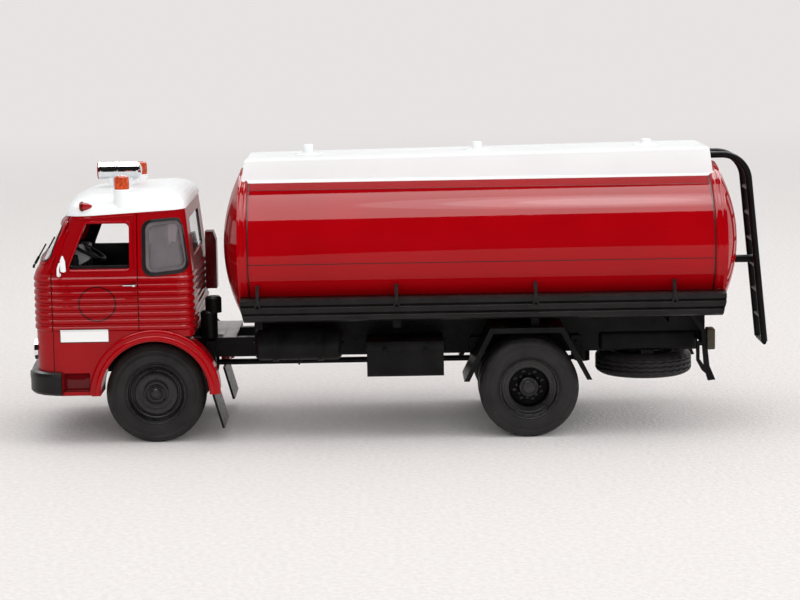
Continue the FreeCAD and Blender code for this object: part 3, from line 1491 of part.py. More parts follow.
def marker_lamps():
    """Small round lamps low on the roof's front corners."""
    pieces = []
    level = size("roof_line + marker_rise")
    for side in (-1, 1):
        centre = Vector(-size("marker_station"), side * size("roof_side - marker_inset"), level)
        pieces.append(Part.makeSphere(size("marker_radius"), centre).cut(over_roof()))
    shape = Part.makeCompound(pieces)
    shape.translate(Vector(size(SHIFT), 0, 0))
    return fixed("MarkerLamps", shape)


def siren():
    """A horn drum along the roof on two feet."""
    height, radius = "siren_height", "siren_radius"
    drum = round_bar("SirenDrum", "X", radius, ("-siren_front", "-siren_rear"), ("0", height))
    proud = f"{radius} + siren_band"
    band = round_bar("SirenBand", "X", proud, ("-siren_front + 3.6", "-siren_front + 4.6"), ("0", height))
    lip = round_bar("SirenLip", "X", proud, ("-siren_front - siren_band", "-siren_front + siren_band"), ("0", height))
    feet = [block(f"SirenFoot{number}", (f"{x} - siren_foot_half", f"{x} + siren_foot_half"), ("-1", "1"),
                  ("roof_line + roof_crown / 2", height))
            for number, x in enumerate(("-siren_front + siren_foot_inset", "-siren_rear - siren_foot_inset"))]
    roof = fixed("SirenSeat", over_roof().translated(Vector(size(SHIFT), 0, 0)))
    return less("Siren", joined("SirenWhole", [drum, band, lip, *feet]), roof)


def mirrors():
    """Mirror heads with bevelled corners on short arms ahead of the door windows."""
    front, rear, low, top, bevel = "-mirror_front", "-mirror_rear", "mirror_low", "mirror_top", "mirror_bevel"
    points = [
        (f"{front} + {bevel}", low),
        (f"{rear} - {bevel}", low),
        (rear, f"{low} + {bevel}"),
        (rear, f"{top} - {bevel}"),
        (f"{rear} - {bevel}", top),
        (f"{front} + {bevel}", top),
        (front, f"{top} - {bevel}"),
        (front, f"{low} + {bevel}"),
    ]
    pieces = []
    for word, side in (("Left", -1), ("Right", 1)):
        head = padded(f"MirrorHead{word}", "XZ_Plane", points, "mirror_thick")
        placed(head, "0", f"{side} * (cab_side + mirror_stand + mirror_thick / 2)", "0")
        arm = block(f"MirrorArm{word}", (f"{front} + {bevel}", f"{front} + {bevel} + 2 * mirror_arm"),
                    mirrored(side, "cab_side + seat_gap", "cab_side + mirror_stand + mirror_thick"),
                    ("belt - mirror_arm", f"{low} + {bevel}"))
        pieces.append(joined(f"Mirror{word}", [head, arm]))
    return group("Mirrors", pieces)


def wipers():
    """Two blades laid on the windscreen."""
    front, thick = -size("cab_front + cab_bow"), size("wiper_radius")
    low, top = size("wiper_low"), size("wiper_top")
    run = Vector(size("wiper_rake"), 0, top - low)
    pieces = []
    for y in (-size("wiper_left"), size("wiper_right")):
        pivot = Vector(front - thick, y, low)
        blade = Part.makeCylinder(thick, run.Length, pivot, run)
        foot = Part.makeCylinder(thick, size("wiper_foot"), pivot, Vector(1, 0, 0))
        pieces.append(blade.fuse(foot).cut(cab_solid(size("seal_proud + seat_gap"), True)))
    shape = Part.makeCompound([max(piece.Solids, key=lambda part: part.Volume) for piece in pieces])
    shape.translate(Vector(size(SHIFT), 0, 0))
    return fixed("Wipers", shape)


def behind_cab():
    """The air intake on the cab's rear wall and the air cleaner's canister on the left rail."""
    points = [
        ("intake_front", "intake_low"),
        ("intake_rear", "intake_low"),
        ("intake_rear", "intake_top - intake_slope"),
        ("intake_rear - intake_slope / 3", "intake_top"),
        ("intake_front", "intake_top"),
    ]
    trunk = padded("AirIntake", "XZ_Plane", points, "2 * intake_half")
    node("air_intake", placed(trunk, "0", "intake_side", "0"))
    centre = "cab_rear + rib_rise + 2 * seat_gap + cleaner_radius"
    body = canister("CleanerBody", centre, "cleaner_radius", "rail_top + seat_gap", "cleaner_neck")
    cap = canister("CleanerCap", f"{centre} + cleaner_shift", "cleaner_cap", "cleaner_neck - cleaner_bevel",
                   "cleaner_top")
    node("air_cleaner", joined("AirCleaner", [body, cap]))


def canister(name, x, radius, low, top):
    """An upright round can with a bevelled top."""
    points = [
        ("0", low),
        (radius, low),
        (radius, f"{top} - cleaner_bevel"),
        (f"{radius} - cleaner_bevel", top),
        ("0", top),
    ]
    return placed(turned(name, points, plane="XZ_Plane", axis="V_Axis"), x, "-cleaner_side", "0")


def cab():
    """The cab and what is fixed to it."""
    node("cab_body", cab_body())
    node("cab_roof", roof_shell())
    gap = size("seat_gap")
    inner = size("seal_width") + gap
    node("windscreen_glass", pane("WindscreenGlass", [windscreen_window(inner)]))
    node("windscreen_seal", seals("WindscreenSeal", [(windscreen_window(gap), windscreen_window(inner - gap))]))
    node("rear_window_glass", pane("RearWindowGlass", [rear_window(gap)]))
    node("quarter_glass", pane("QuarterGlass", [quarter_window(side, inner) for side in (-1, 1)]))
    rings = [(quarter_window(side, gap), quarter_window(side, inner - gap)) for side in (-1, 1)]
    node("quarter_seals", seals("QuarterSeals", rings))
    node("front_bumper", bumper())
    node("grille", grille())
    node("headlamps", headlamps())
    cab_inside()
    trim()
    behind_cab()


def write_parts():
    """Check every object, then write each node's file."""
    doc.recompute()
    for thing in doc.Objects:
        if "Invalid" in thing.State or "Error" in thing.State:
            raise RuntimeError(f"{thing.Name} failed: {thing.State}")
    os.makedirs("parts", exist_ok=True)
    for name, thing in NODES.items():
        if thing.Shape.isNull() or not thing.Shape.isValid():
            raise RuntimeError(f"{name} has no valid shape")
        thing.Shape.exportStep(f"parts/{name}.step")
        print(name, len(thing.Shape.Solids), round(thing.Shape.Volume, 1))


wheels()
chassis()
underside()
tank()
cab()
write_parts()
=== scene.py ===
import json
import math

import bmesh
import bpy
from mathutils import Matrix, Vector
from mathutils.bvhtree import BVHTree


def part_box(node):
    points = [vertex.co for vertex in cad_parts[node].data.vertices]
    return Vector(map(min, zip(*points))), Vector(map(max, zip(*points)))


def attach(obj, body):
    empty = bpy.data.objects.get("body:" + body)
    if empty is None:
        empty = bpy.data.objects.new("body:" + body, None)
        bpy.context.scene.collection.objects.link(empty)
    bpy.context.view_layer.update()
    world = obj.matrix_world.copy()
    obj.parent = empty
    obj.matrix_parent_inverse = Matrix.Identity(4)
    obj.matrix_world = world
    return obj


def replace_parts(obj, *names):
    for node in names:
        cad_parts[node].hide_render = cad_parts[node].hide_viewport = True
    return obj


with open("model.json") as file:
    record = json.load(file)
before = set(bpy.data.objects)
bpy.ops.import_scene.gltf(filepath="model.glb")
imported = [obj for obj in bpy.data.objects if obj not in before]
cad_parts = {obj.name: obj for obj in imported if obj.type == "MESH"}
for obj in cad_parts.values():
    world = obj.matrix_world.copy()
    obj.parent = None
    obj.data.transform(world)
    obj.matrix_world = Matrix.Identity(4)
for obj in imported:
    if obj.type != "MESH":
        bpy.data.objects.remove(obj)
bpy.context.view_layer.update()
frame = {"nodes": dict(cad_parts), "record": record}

# The looks of a die-cast model of a two-axle tanker lorry. Shapes are in millimetres in the
# frame's directions until piece() makes a mesh of them; materials, lamps and camera use metres.

MM = 0.001
ROOM = 0.70
SIDES = (("left", -1), ("right", 1))


# Places that follow from the frame


def corners(node):
    """A node's lowest and highest corner."""
    low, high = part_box(node)
    return Vector(low) / MM, Vector(high) / MM


def middle(node):
    """The centre of a node's box."""
    low, high = corners(node)
    return (low + high) / 2


def outer(low, high, side):
    """How far across a box reaches on one side."""
    return high.y if side > 0 else low.y


FRONT_AXLE = middle("front_axle").x


def station(distance):
    """The frame's X at a distance behind the front axle."""
    return FRONT_AXLE + distance


def spot(distance, across, height):
    """A point behind the front axle, to the right and above the ground."""
    return Vector((station(distance), across, height))


# Materials


def feed(tree, node, inputs):
    """Set a node's inputs to plain values and colours, or link them to other nodes' outputs."""
    for name, value in inputs.items():
        if isinstance(value, bpy.types.NodeSocket):
            tree.links.new(value, node.inputs[name])
        else:
            node.inputs[name].default_value = (*value, 1) if isinstance(value, tuple) else value


def add_node(tree, kind, inputs, **settings):
    """A new shader node of a kind, with its settings and inputs."""
    node = tree.nodes.new("ShaderNode" + kind)
    for name, value in settings.items():
        setattr(node, name, value)
    feed(tree, node, inputs)
    return node


def new_material(name):
    """An empty material, its node tree and its shader."""
    material = bpy.data.materials.new(name)
    material.use_nodes = True
    return material, material.node_tree, material.node_tree.nodes["Principled BSDF"]


def own(tree, kind="Object"):
    """The part's own coordinates in metres, or its own surface normal, all over a surface."""
    return add_node(tree, "TexCoord", {}).outputs[kind]


def axes_of(tree):
    """The part's own X, Y and Z in metres, all over a surface."""
    return list(add_node(tree, "SeparateXYZ", {"Vector": own(tree)}).outputs)


def noise(tree, scale, detail=3.0, low=0.0, high=1.0):
    """A noise in the part's own metres, spread from low to high; scale is in features a metre."""
    grain = add_node(tree, "TexNoise", {"Vector": own(tree), "Scale": scale, "Detail": detail})
    return add_node(tree, "MapRange", {"Value": grain.outputs["Fac"], "From Min": 0.35, "From Max": 0.65,
                                       "To Min": low, "To Max": high}).outputs["Result"]


def blend_colours(tree, factor, first, second):
    """A colour between two, by a factor from another node."""
    mix = add_node(tree, "Mix", {"A": first, "B": second, "Factor": factor}, data_type="RGBA")
    return mix.outputs["Result"]


def calculate(tree, operation, *values):
    """A math node's result."""
    return add_node(tree, "Math", dict(enumerate(values)), operation=operation).outputs["Value"]


def bump(tree, height, depth):
    """A surface normal with relief of a given depth in metres."""
    return add_node(tree, "Bump", {"Height": height, "Distance": depth, "Strength": 1.0}).outputs["Normal"]


def enamel(name, colour, pooled, gloss=0.5, haze=0.0):
    """Glossy model enamel: slightly uneven colour under a clear coat with a faint orange peel."""
    material, tree, shader = new_material(name)
    feed(tree, shader, {
        "Base Color": blend_colours(tree, noise(tree, 60), colour, pooled),
        "Roughness": noise(tree, 2500, low=0.38, high=0.46),
        "Specular IOR Level": haze,
        "Coat Weight": gloss,
        "Coat Roughness": 0.05,
        "Normal": bump(tree, noise(tree, 420, detail=1.0), 0.000004),
    })
    return material


def within(tree, value, centre, half):
    """1 where a value is within half of a centre, otherwise 0."""
    return calculate(tree, "COMPARE", value, centre, half)


def cab_markings(tree, paint):
    """The plain ring and the blank white plate with a thin border, printed on both doors."""
    x, y, z = axes_of(tree)
    on_side = calculate(tree, "GREATER_THAN", calculate(tree, "ABSOLUTE", y), 25.6 * MM)
    squares = []
    for axis, centre, reach in ((x, station(-13.8), 4.7), (z, 35.6, 4.4)):
        share = calculate(tree, "DIVIDE", calculate(tree, "SUBTRACT", axis, centre * MM), reach * MM)
        squares.append(calculate(tree, "MULTIPLY", share, share))
    ring = within(tree, calculate(tree, "SQRT", calculate(tree, "ADD", *squares)), 0.965, 0.034)
    marks = [(ring, (0.012, 0.003, 0.003))]
    border, plate_white = (0.02, 0.02, 0.02), (0.80, 0.80, 0.79)
    for half_length, half_height, colour in ((6.15, 1.75, border), (5.95, 1.55, plate_white)):
        along = within(tree, x, station(-17.25) * MM, half_length * MM)
        up = within(tree, z, 27.65 * MM, half_height * MM)
        marks.append((calculate(tree, "MULTIPLY", along, up), colour))
    for mark, colour in marks:
        paint = blend_colours(tree, calculate(tree, "MULTIPLY", mark, on_side), paint, colour)
    return paint


def cab_enamel(name, colour, pooled):
    """The cab's enamel, with its markings outside and black moulding on the walls that face its middle."""
    material = enamel(name, colour, pooled, 0.38, 0.03)
    tree = material.node_tree
    shader = tree.nodes["Principled BSDF"]
    paint = cab_markings(tree, shader.inputs["Base Color"].links[0].from_socket)
    outward = add_node(tree, "VectorMath", {0: own(tree), 1: spot(-10.0, 0, 42.0) * MM}, operation="SUBTRACT")
    facing_out = add_node(tree, "VectorMath", {0: outward.outputs["Vector"], 1: own(tree, "Normal")},
                          operation="DOT_PRODUCT")
    faces_in = calculate(tree, "LESS_THAN", facing_out.outputs["Value"], -0.001)
    above_floor = calculate(tree, "GREATER_THAN", axes_of(tree)[2], 29.5 * MM)
    inside = calculate(tree, "MULTIPLY", faces_in, above_floor)
    feed(tree, shader, {"Base Color": blend_colours(tree, inside, paint, (0.008, 0.008, 0.008))})
    return material


def moulding(name, colour, roughness, grain_scale=3500, grain_depth=0.000006, gloss=0.35):
    """Moulded plastic: a fine satin grain with a little dust in it."""
    material, tree, shader = new_material(name)
    dusty = tuple(value * 1.5 + 0.002 for value in colour)
    feed(tree, shader, {
        "Base Color": blend_colours(tree, noise(tree, 180, detail=6), colour, dusty),
        "Roughness": noise(tree, 900, low=roughness - 0.05, high=roughness + 0.07),
        "Specular IOR Level": gloss,
        "Normal": bump(tree, noise(tree, grain_scale), grain_depth),
    })
    return material


def chrome(name):
    """Vacuum plating, with a thin haze."""
    material, tree, shader = new_material(name)
    feed(tree, shader, {
        "Base Color": blend_colours(tree, noise(tree, 300, detail=4), (0.86, 0.87, 0.88), (0.80, 0.81, 0.83)),
        "Metallic": 1.0,
        "Roughness": noise(tree, 1500, low=0.05, high=0.12),
    })
    return material


def clear(name, colour, roughness, weight=1.0, depth=0.9, grain=250):
    """Clear plastic: windows and lamp lenses, deeper in colour by patches."""
    material, tree, shader = new_material(name)
    deeper = tuple(value * depth for value in colour)
    feed(tree, shader, {
        "Base Color": blend_colours(tree, noise(tree, grain), colour, deeper),
        "Transmission Weight": weight,
        "IOR": 1.45,
        "Roughness": noise(tree, 700, low=roughness, high=roughness + 0.02),
    })
    return material


RED = (0.335, 0.0008, 0.0035)
RED_POOLED = (0.30, 0.0006, 0.003)

materials = {
    "body_red": enamel("red_enamel", RED, RED_POOLED),
    "roof_white": enamel("white_enamel", (0.825, 0.845, 0.855), (0.795, 0.815, 0.825), 0.1, 0.05),
    "chassis_black": moulding("chassis_plastic", (0.0024, 0.0021, 0.0022), 0.36, gloss=0.13),
    "rim_black": moulding("rim_plastic", (0.0055, 0.005, 0.0052), 0.3, gloss=0.5),
    "tyre_rubber": moulding("tyre_rubber", (0.0095, 0.0085, 0.0088), 0.55, 1800, 0.00001, 0.35),
    "axle_steel": chrome("axle_steel"),
    "interior_black": moulding("interior_plastic", (0.005, 0.0045, 0.005), 0.45, gloss=0.25),
    "seal_black": moulding("seal_rubber", (0.006, 0.0045, 0.005), 0.4),
    "clear_glazing": clear("clear_glazing", (0.86, 0.89, 0.90), 0.01),
    "bright_chrome": chrome("bright_chrome"),
    "beacon_amber": clear("amber_lens", (0.86, 0.115, 0.032), 0.1, 0.3, 0.45, 1100),
    "marker_red": clear("red_lens", (0.40, 0.006, 0.01), 0.1, 0.2),
    "intake_red": enamel("dark_red_enamel", (0.10, 0.002, 0.004), (0.08, 0.002, 0.003)),
}
# Painted glint: the headlamp glasses are an opaque pale grey in place of the bright reflection of clear lenses.
GLINT_GREY_LENS = moulding("painted_glint_lens", (0.62, 0.63, 0.64), 0.25)
# Painted reflection: the quarter seals are an opaque grey that stands for the glazing's pale sheen at the
# windows' edges.
REFLECTION_GREY_SEAL = moulding("painted_reflection_grey", (0.095, 0.083, 0.09), 0.2)
PLATE_GREY = moulding("plate_grey", (0.33, 0.32, 0.32), 0.35)
# Painted shade: the near-black lining in the deep wells of the twin rims.
WELL_SHADE_BLACK = moulding("painted_well_shade", (0.0012, 0.0011, 0.0012), 0.5, gloss=0.1)
HAZY_GLAZING = clear("hazy_glazing", (0.52, 0.47, 0.50), 0.06, 0.8)
SKIRT_BLACK = moulding("skirt_plastic", (0.0055, 0.0048, 0.0048), 0.36, gloss=0.25)
GREY_MOULDING = moulding("grey_plastic", (0.20, 0.20, 0.21), 0.4)
OLIVE_LENS = moulding("olive_lens", (0.026, 0.022, 0.011), 0.3)
CAB_RED = cab_enamel("cab_enamel", *(tuple(0.87 * value for value in paint) for paint in (RED, RED_POOLED)))

OWN_FINISH = {
    "cab_body": CAB_RED,
    "windscreen_seal": materials["body_red"],
    # The grey on the quarter seals is a painted reflection.
    "quarter_seals": REFLECTION_GREY_SEAL,
    "quarter_glass": HAZY_GLAZING,
    "side_skirt_left": SKIRT_BLACK,
    "side_skirt_right": SKIRT_BLACK,
    "front_bumper": SKIRT_BLACK,
}
SLOT_OF = {part["node"]: part["material_slot"] for part in frame["record"]["subparts"]}
for name, thing in frame["nodes"].items():
    thing.data.materials.clear()
    thing.data.materials.append(OWN_FINISH.get(name, materials[SLOT_OF[name]]))


# Shapes: each gives its vertices and faces


class Form:
    """Vertices and faces gathered for one piece."""

    def __init__(self):
        self.verts = []
        self.faces = []

    def add(self, shape, place=(0, 0, 0), turn=None):
        """Take in a shape, turned and then moved."""
        verts, faces = shape
        start = len(self.verts)
        for vert in verts:
            point = turn @ Vector(vert) if turn else Vector(vert)
            self.verts.append(point + Vector(place))
        self.faces += [tuple(start + corner for corner in face) for face in faces]
        return self


def ring_faces(row, count, is_open):
    """Quads between neighbouring rows round a full turn."""
    faces = []
    for step in range(count):
        here, there = step * row, (step + 1) % count * row
        for point in range(row - 1 if is_open else row):
            beyond = (point + 1) % row
            faces.append((here + point, there + point, there + beyond, here + beyond))
    return faces


def around(count, reach, start=0.0):
    """Points evenly round the origin at a distance, from an angle in degrees."""
    turns = [math.radians(start + 360 / count * number) for number in range(count)]
    return [(reach * math.cos(turn), reach * math.sin(turn)) for turn in turns]


def lathe(profile, count=48):
    """A profile of (radius, height) turned about Z; it starts and ends on the axis, or closes on itself."""
    on_axis = profile[0][0] == 0 and profile[-1][0] == 0
    verts = [(radius * x, radius * y, height) for x, y in around(count, 1.0) for radius, height in profile]
    return verts, ring_faces(len(profile), count, on_axis)


def disc(radius, low, high, count=20):
    """A plain round disc between two heights."""
    return lathe([(0, low), (radius, low), (radius, high), (0, high)], count)


def rounded(shape, edge, steps):
    """A bmesh with all its edges rounded, as vertices and faces."""
    bmesh.ops.recalc_face_normals(shape, faces=shape.faces)
    if edge:
        bmesh.ops.bevel(shape, geom=shape.edges[:], offset=edge, segments=steps, affect="EDGES", profile=0.5)
    shape.verts.index_update()
    verts = [vert.co.copy() for vert in shape.verts]
    faces = [tuple(vert.index for vert in face.verts) for face in shape.faces]
    shape.free()
    return verts, faces


def slab(first, last, edge=0.0, steps=2):
    """A block between two opposite corners with rounded edges."""
    first, last = Vector(first), Vector(last)
    shape = bmesh.new()
    bmesh.ops.create_cube(shape, size=1.0)
    for vert in shape.verts:
        vert.co = (first + last) / 2 + Vector(a * abs(b) for a, b in zip(vert.co, last - first))
    return rounded(shape, edge, steps)


def plate(outline, thick, edge):
    """An outline of XY points, thick along Z, with rounded edges."""
    shape = bmesh.new()
    face = shape.faces.new([shape.verts.new((x, y, 0)) for x, y in outline])
    raised = bmesh.ops.extrude_face_region(shape, geom=[face])["geom"]
    for vert in raised:
        if isinstance(vert, bmesh.types.BMVert):
            vert.co.z += thick
    return rounded(shape, edge, 2)


def bar(first, last):
    """A straight bar between two sections with the same number of points."""
    count = len(first)
    faces = [(point, (point + 1) % count, count + (point + 1) % count, count + point) for point in range(count)]
    return first + last, faces + [tuple(range(count)), tuple(range(count, 2 * count))]


def tube(points, radius, count=10, is_ring=False):
    """A round bar along points."""
    points = [Vector(point) for point in points]
    verts = []
    across = None
    for number, point in enumerate(points):
        before = points[number - 1] if number or is_ring else point
        after = points[(number + 1) % len(points)] if number + 1 < len(points) or is_ring else point
        along = (after - before).normalized()
        if across is None:
            across = along.orthogonal().normalized()
        across = (across - along * across.dot(along)).normalized()
        other = along.cross(across)
        verts += [point + x * across + y * other for x, y in around(count, radius)]
    faces = []
    for number in range(len(points) if is_ring else len(points) - 1):
        here, there = number * count, (number + 1) % len(points) * count
        for step in range(count):
            beyond = (step + 1) % count
            faces.append((here + step, here + beyond, there + beyond, there + step))
    if not is_ring:
        faces += [tuple(range(count)), tuple(range(len(verts) - count, len(verts)))]
    return verts, faces


def bolt(radius, height):
    """A hexagon head with chamfered corners, on a round washer."""
    washer = 0.2 * height
    head = [(0, washer), (radius, washer), (radius, 0.8 * height), (0.86 * radius, height), (0, height)]
    form = Form().add(disc(1.25 * radius, 0, washer, 16)).add(lathe(head, 6))
    return form.verts, form.faces


def rivet(radius):
    """A low round head."""
    turns = [math.radians(angle) for angle in (0, 30, 60)]
    dome = [(radius * math.cos(turn), 0.6 * radius * math.sin(turn)) for turn in turns]
    return lathe([(0, 0)] + dome + [(0, 0.6 * radius)], 12)


def facing(direction):
    """The turn that takes Z to a direction."""
    return Vector(direction).to_track_quat("Z", "Y").to_matrix()


def mesh_of(name, form, scale=1.0):
    """A mesh of a form, with its double points joined and its faces turned outwards."""
    mesh = bpy.data.meshes.new(name)
    mesh.from_pydata([vert * scale for vert in form.verts], [], form.faces)
    shape = bmesh.new()
    shape.from_mesh(mesh)
    bmesh.ops.remove_doubles(shape, verts=shape.verts, dist=0.0005 * scale)
    bmesh.ops.recalc_face_normals(shape, faces=shape.faces)
    shape.to_mesh(mesh)
    shape.free()
    return mesh


def in_scene(name, data):
    """A new object at the frame's origin."""
    thing = bpy.data.objects.new(name, data)
    bpy.context.scene.collection.objects.link(thing)
    return thing


def bored(form, holes):
    """The shape of a closed form less other closed forms."""
    body, tool = (in_scene("helper", mesh_of("helper", shape)) for shape in (form, holes))
    cut = body.modifiers.new("cut", "BOOLEAN")
    cut.operation = "DIFFERENCE"
    cut.solver = "EXACT"
    cut.object = tool
    mesh = bpy.data.meshes.new_from_object(body.evaluated_get(bpy.context.evaluated_depsgraph_get()))
    for thing in (body, tool):
        bpy.data.objects.remove(thing)
    return [vert.co.copy() for vert in mesh.vertices], [tuple(face.vertices) for face in mesh.polygons]


def piece(name, form, slot, body="chassis", material=None, crease=35):
    """Make a piece of the model, which rides on a body and takes its finish from a slot."""
    mesh = mesh_of(name, form, MM)
    mesh.shade_smooth()
    mesh.set_sharp_from_angle(angle=math.radians(crease))
    mesh.materials.append(material or materials[slot])
    thing = in_scene(name, mesh)
    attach(thing, body)
    return thing


# Lines laid on the plain model's surfaces


def skin_of(*nodes):
    """A search tree over the surfaces of some of the plain model's nodes, in metres."""
    form = Form()
    for node in nodes:
        thing = frame["nodes"][node]
        verts = [thing.matrix_world @ vert.co for vert in thing.data.vertices]
        form.add((verts, [tuple(face.vertices) for face in thing.data.polygons]))
    return BVHTree.FromPolygons(form.verts, form.faces)


def laid(skin, starts, way, proud=0.0, reach=40.0):
    """Points sent along a direction until they meet the skin within a reach, then raised.

    A point that slips through a joint of two pieces is tried again a hair beside it.
    """
    way = Vector(way)
    points = []
    for start in starts:
        for shift in (0, 0.06, -0.06, 0.15, -0.15, 0.3, -0.3, 0.5, -0.5):
            source = (Vector(start) + Vector((shift, shift, shift))) * MM
            hit, normal = skin.ray_cast(source, way, reach * MM)[:2]
            if hit is not None:
                points.append(hit / MM + (normal if normal.dot(way) < 0 else -normal) * proud)
                break
    return points


def stepped(path, pace=0.6):
    """A path through corners, with points at an even pace."""
    points = []
    for here, there in zip(path, path[1:]):
        here, there = Vector(here), Vector(there)
        count = max(1, round((there - here).length / pace))
        points += [here.lerp(there, step / count) for step in range(count)]
    return points + [Vector(path[-1])]


def closed(outline):
    """A closed outline with points at an even pace."""
    return stepped(outline + outline[:1])[:-1]


def softened(outline, radius, steps=5):
    """A closed outline with its corners rounded."""
    points = []
    for number, corner in enumerate(outline):
        corner = Vector(corner)
        before = (Vector(outline[number - 1]) - corner).normalized()
        after = (Vector(outline[(number + 1) % len(outline)]) - corner).normalized()
        back = radius / math.tan(before.angle(after) / 2)
        first, last = corner + before * back, corner + after * back
        for step in range(steps + 1):
            share = step / steps
            points.append((1 - share) ** 2 * first + 2 * share * (1 - share) * corner + share ** 2 * last)
    return points


def on_flank(skin, path, side, proud, reach=16.0):
    """A path of (distance behind the front axle, height) laid on one flank of the cab."""
    starts = [(station(x), side * 40, z) for x, z in path]
    return laid(skin, starts, (0, -side, 0), proud, reach)


def flank_bead(skin, path, side, radius, is_ring=False):
    """A round bead laid on the cab's flank, part of it sunk."""
    return tube(on_flank(skin, path, side, radius * 0.35), radius, 8, is_ring)


def flank_band(skin, inner_path, outer_path, side, proud):
    """A flat band between two closed outlines, laid on the cab's flank."""
    rows = ((outer_path, -0.2), (outer_path, proud), (inner_path, proud), (inner_path, -0.2))
    sections = list(zip(*(on_flank(skin, path, side, rise) for path, rise in rows)))
    return [point for section in sections for point in section], ring_faces(len(rows), len(sections), True)


# Wheels


def tyre_section(radius, half):
    """A tyre's section from bead to bead, as (radius, offset, zigzag, notch)."""
    bead = 7.5
    base = radius - 0.42
    wall = [(bead, 0.50), (bead + 0.30, 0.28), (bead + 0.42, 0.40), (bead + 0.90, 0.16), (bead + 1.90, 0.02),
            (bead + 2.30, 0), (bead + 2.42, 0.10), (bead + 3.30, 0.18), (bead + 3.42, 0.10),
            (radius - 1.10, 0.34)]
    shoulder = [(radius - 0.62, 0.62, 0.10), (radius - 0.22, 1.00, 0.30), (radius - 0.03, 1.38, 0.30),
                (radius, 1.52, 0)]
    tread = [(radius, half - 1.78), (base, half - 1.86), (base, half - 2.04), (radius, half - 2.12),
             (radius, 0.24), (base, 0.16)]
    side = [(high, half - sunk, 0, 0) for high, sunk in wall]
    side += [(high, half - sunk, 0, notch) for high, sunk, notch in shoulder]
    side += [(high, offset, 0.16, 0) for high, offset in tread]
    return side + [(high, -offset, zigzag, notch) for high, offset, zigzag, notch in reversed(side)]


def tyre_shape(radius, half):
    """A tyre turned about Z, with zigzag grooves and notched shoulders."""
    section = tyre_section(radius, half)
    count = 120
    verts = []
    for step, (x, y) in enumerate(around(count, 1.0)):
        swing = (0, 1, 0, -1)[step % 4]
        for high, offset, zigzag, notch in section:
            reach = high - (notch if step % 4 == 0 else 0)
            verts.append((reach * x, reach * y, offset + swing * zigzag))
    return verts, ring_faces(len(section), count, False)


def tyres():
    """Tyres with tread over the plain ones."""
    along_axle = facing((0, 1, 0))
    for word in ("left", "right"):
        low, high = corners(f"front_tyre_{word}")
        half = (high.y - low.y) / 2
        tyre = tyre_shape((high.z - low.z) / 2, half)
        form = Form().add(tyre, (low + high) / 2, along_axle)
        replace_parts(piece(f"front_tread_{word}", form, "tyre_rubber", "front_wheelset"), f"front_tyre_{word}")
        low, high = corners(f"rear_tyres_{word}")
        centre = (low + high) / 2
        twin = Form()
        for y in (low.y + half, high.y - half):
            twin.add(tyre, (centre.x, y, centre.z), along_axle)
        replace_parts(piece(f"rear_treads_{word}", twin, "tyre_rubber", "rear_wheelset"), f"rear_tyres_{word}")
    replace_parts(piece("spare_tread", Form().add(tyre, middle("spare_wheel")), "tyre_rubber"), "spare_wheel")


def front_rim():
    """The front wheel's disc from its face inwards, with two slots near its edge."""
    profile = [(0, -2.4), (1.05, -2.4), (1.05, -5.4), (3.0, -5.4), (3.4, -4.6), (6.2, -4.2), (6.9, -5.2),
               (7.5, -5.4), (7.5, -0.25), (7.42, -0.05), (7.25, 0), (7.08, -0.1), (6.95, -0.4), (6.8, -0.85),
               (6.55, -1.0), (6.4, -0.9), (6.3, -0.72), (6.05, -0.68), (5.92, -0.8), (5.8, -1.05), (5.55, -1.1),
               (5.4, -0.95), (5.25, -0.72), (5.0, -0.62), (4.0, -0.72), (3.45, -0.8), (3.2, -0.72),
               (3.05, -0.42), (2.85, -0.34), (2.68, -0.42), (2.58, -0.75), (2.3, -0.78), (2.15, -0.5),
               (1.75, -0.42), (1.6, -0.5), (1.5, -0.68), (1.28, -0.68), (1.18, -0.22), (0.95, -0.04), (0, 0)]
    slots = Form()
    for turn in (math.radians(98), math.radians(-82)):
        centre = (5.5 * math.cos(turn), 5.5 * math.sin(turn), -0.8)
        slots.add(slab((-0.28, -0.95, -0.9), (0.28, 0.95, 0.9), 0.12), centre, Matrix.Rotation(turn, 3, "Z"))
    return bored(Form().add(lathe(profile, 96)), slots)


def rear_rim():
    """A twin rim from its outer face inwards: a shelf, a deep disc with round holes, and a hub with bolts."""
    profile = [(0, -2.4), (1.05, -2.4), (1.05, -12.4), (2.4, -12.4), (2.7, -11.4), (5.6, -11.0), (6.7, -12.2),
               (7.5, -12.4), (7.5, -7.0), (6.1, -7.0), (6.1, -5.4), (7.5, -5.4), (7.5, -0.25), (7.42, -0.05),
               (7.25, 0), (7.05, -0.12), (6.95, -0.45), (6.75, -0.72), (6.2, -0.82), (6.1, -0.94), (5.5, -1.02),
               (5.15, -1.15), (4.98, -1.45), (4.9, -3.5), (4.75, -3.85), (4.45, -4.0), (2.75, -4.0),
               (2.6, -3.85), (2.5, -2.2), (2.42, -1.85), (2.25, -1.72), (2.0, -1.72), (1.9, -1.84),
               (1.85, -2.05), (1.62, -2.05), (1.55, -1.75), (1.42, -1.64), (0.9, -1.6), (0, -1.6)]
    holes = Form()
    for x, y in around(8, 3.65, 18):
        holes.add(disc(0.52, -4.9, -3.6), (x, y, 0))
    rim = Form().add(bored(Form().add(lathe(profile, 96)), holes))
    for x, y in around(8, 3.0, 40):
        rim.add(bolt(0.26, 0.3), (x, y, -4.0))
    return rim.verts, rim.faces


def rear_well_shade():
    """Painted shade in the well of a twin rim: a thin near-black lining behind the hub and up the wall."""
    profile = [(2.62, -3.7), (2.85, -3.93), (4.4, -3.93), (4.7, -3.78), (4.84, -3.4), (4.92, -1.5),
               (4.97, -1.5), (4.97, -4.1), (2.62, -4.1)]
    holes = Form()
    for reach, start, radius in ((3.65, 18, 0.52), (3.0, 40, 0.34)):
        for x, y in around(8, reach, start):
            holes.add(disc(radius, -4.5, -3.5), (x, y, 0))
    return bored(Form().add(lathe(profile, 96)), holes)


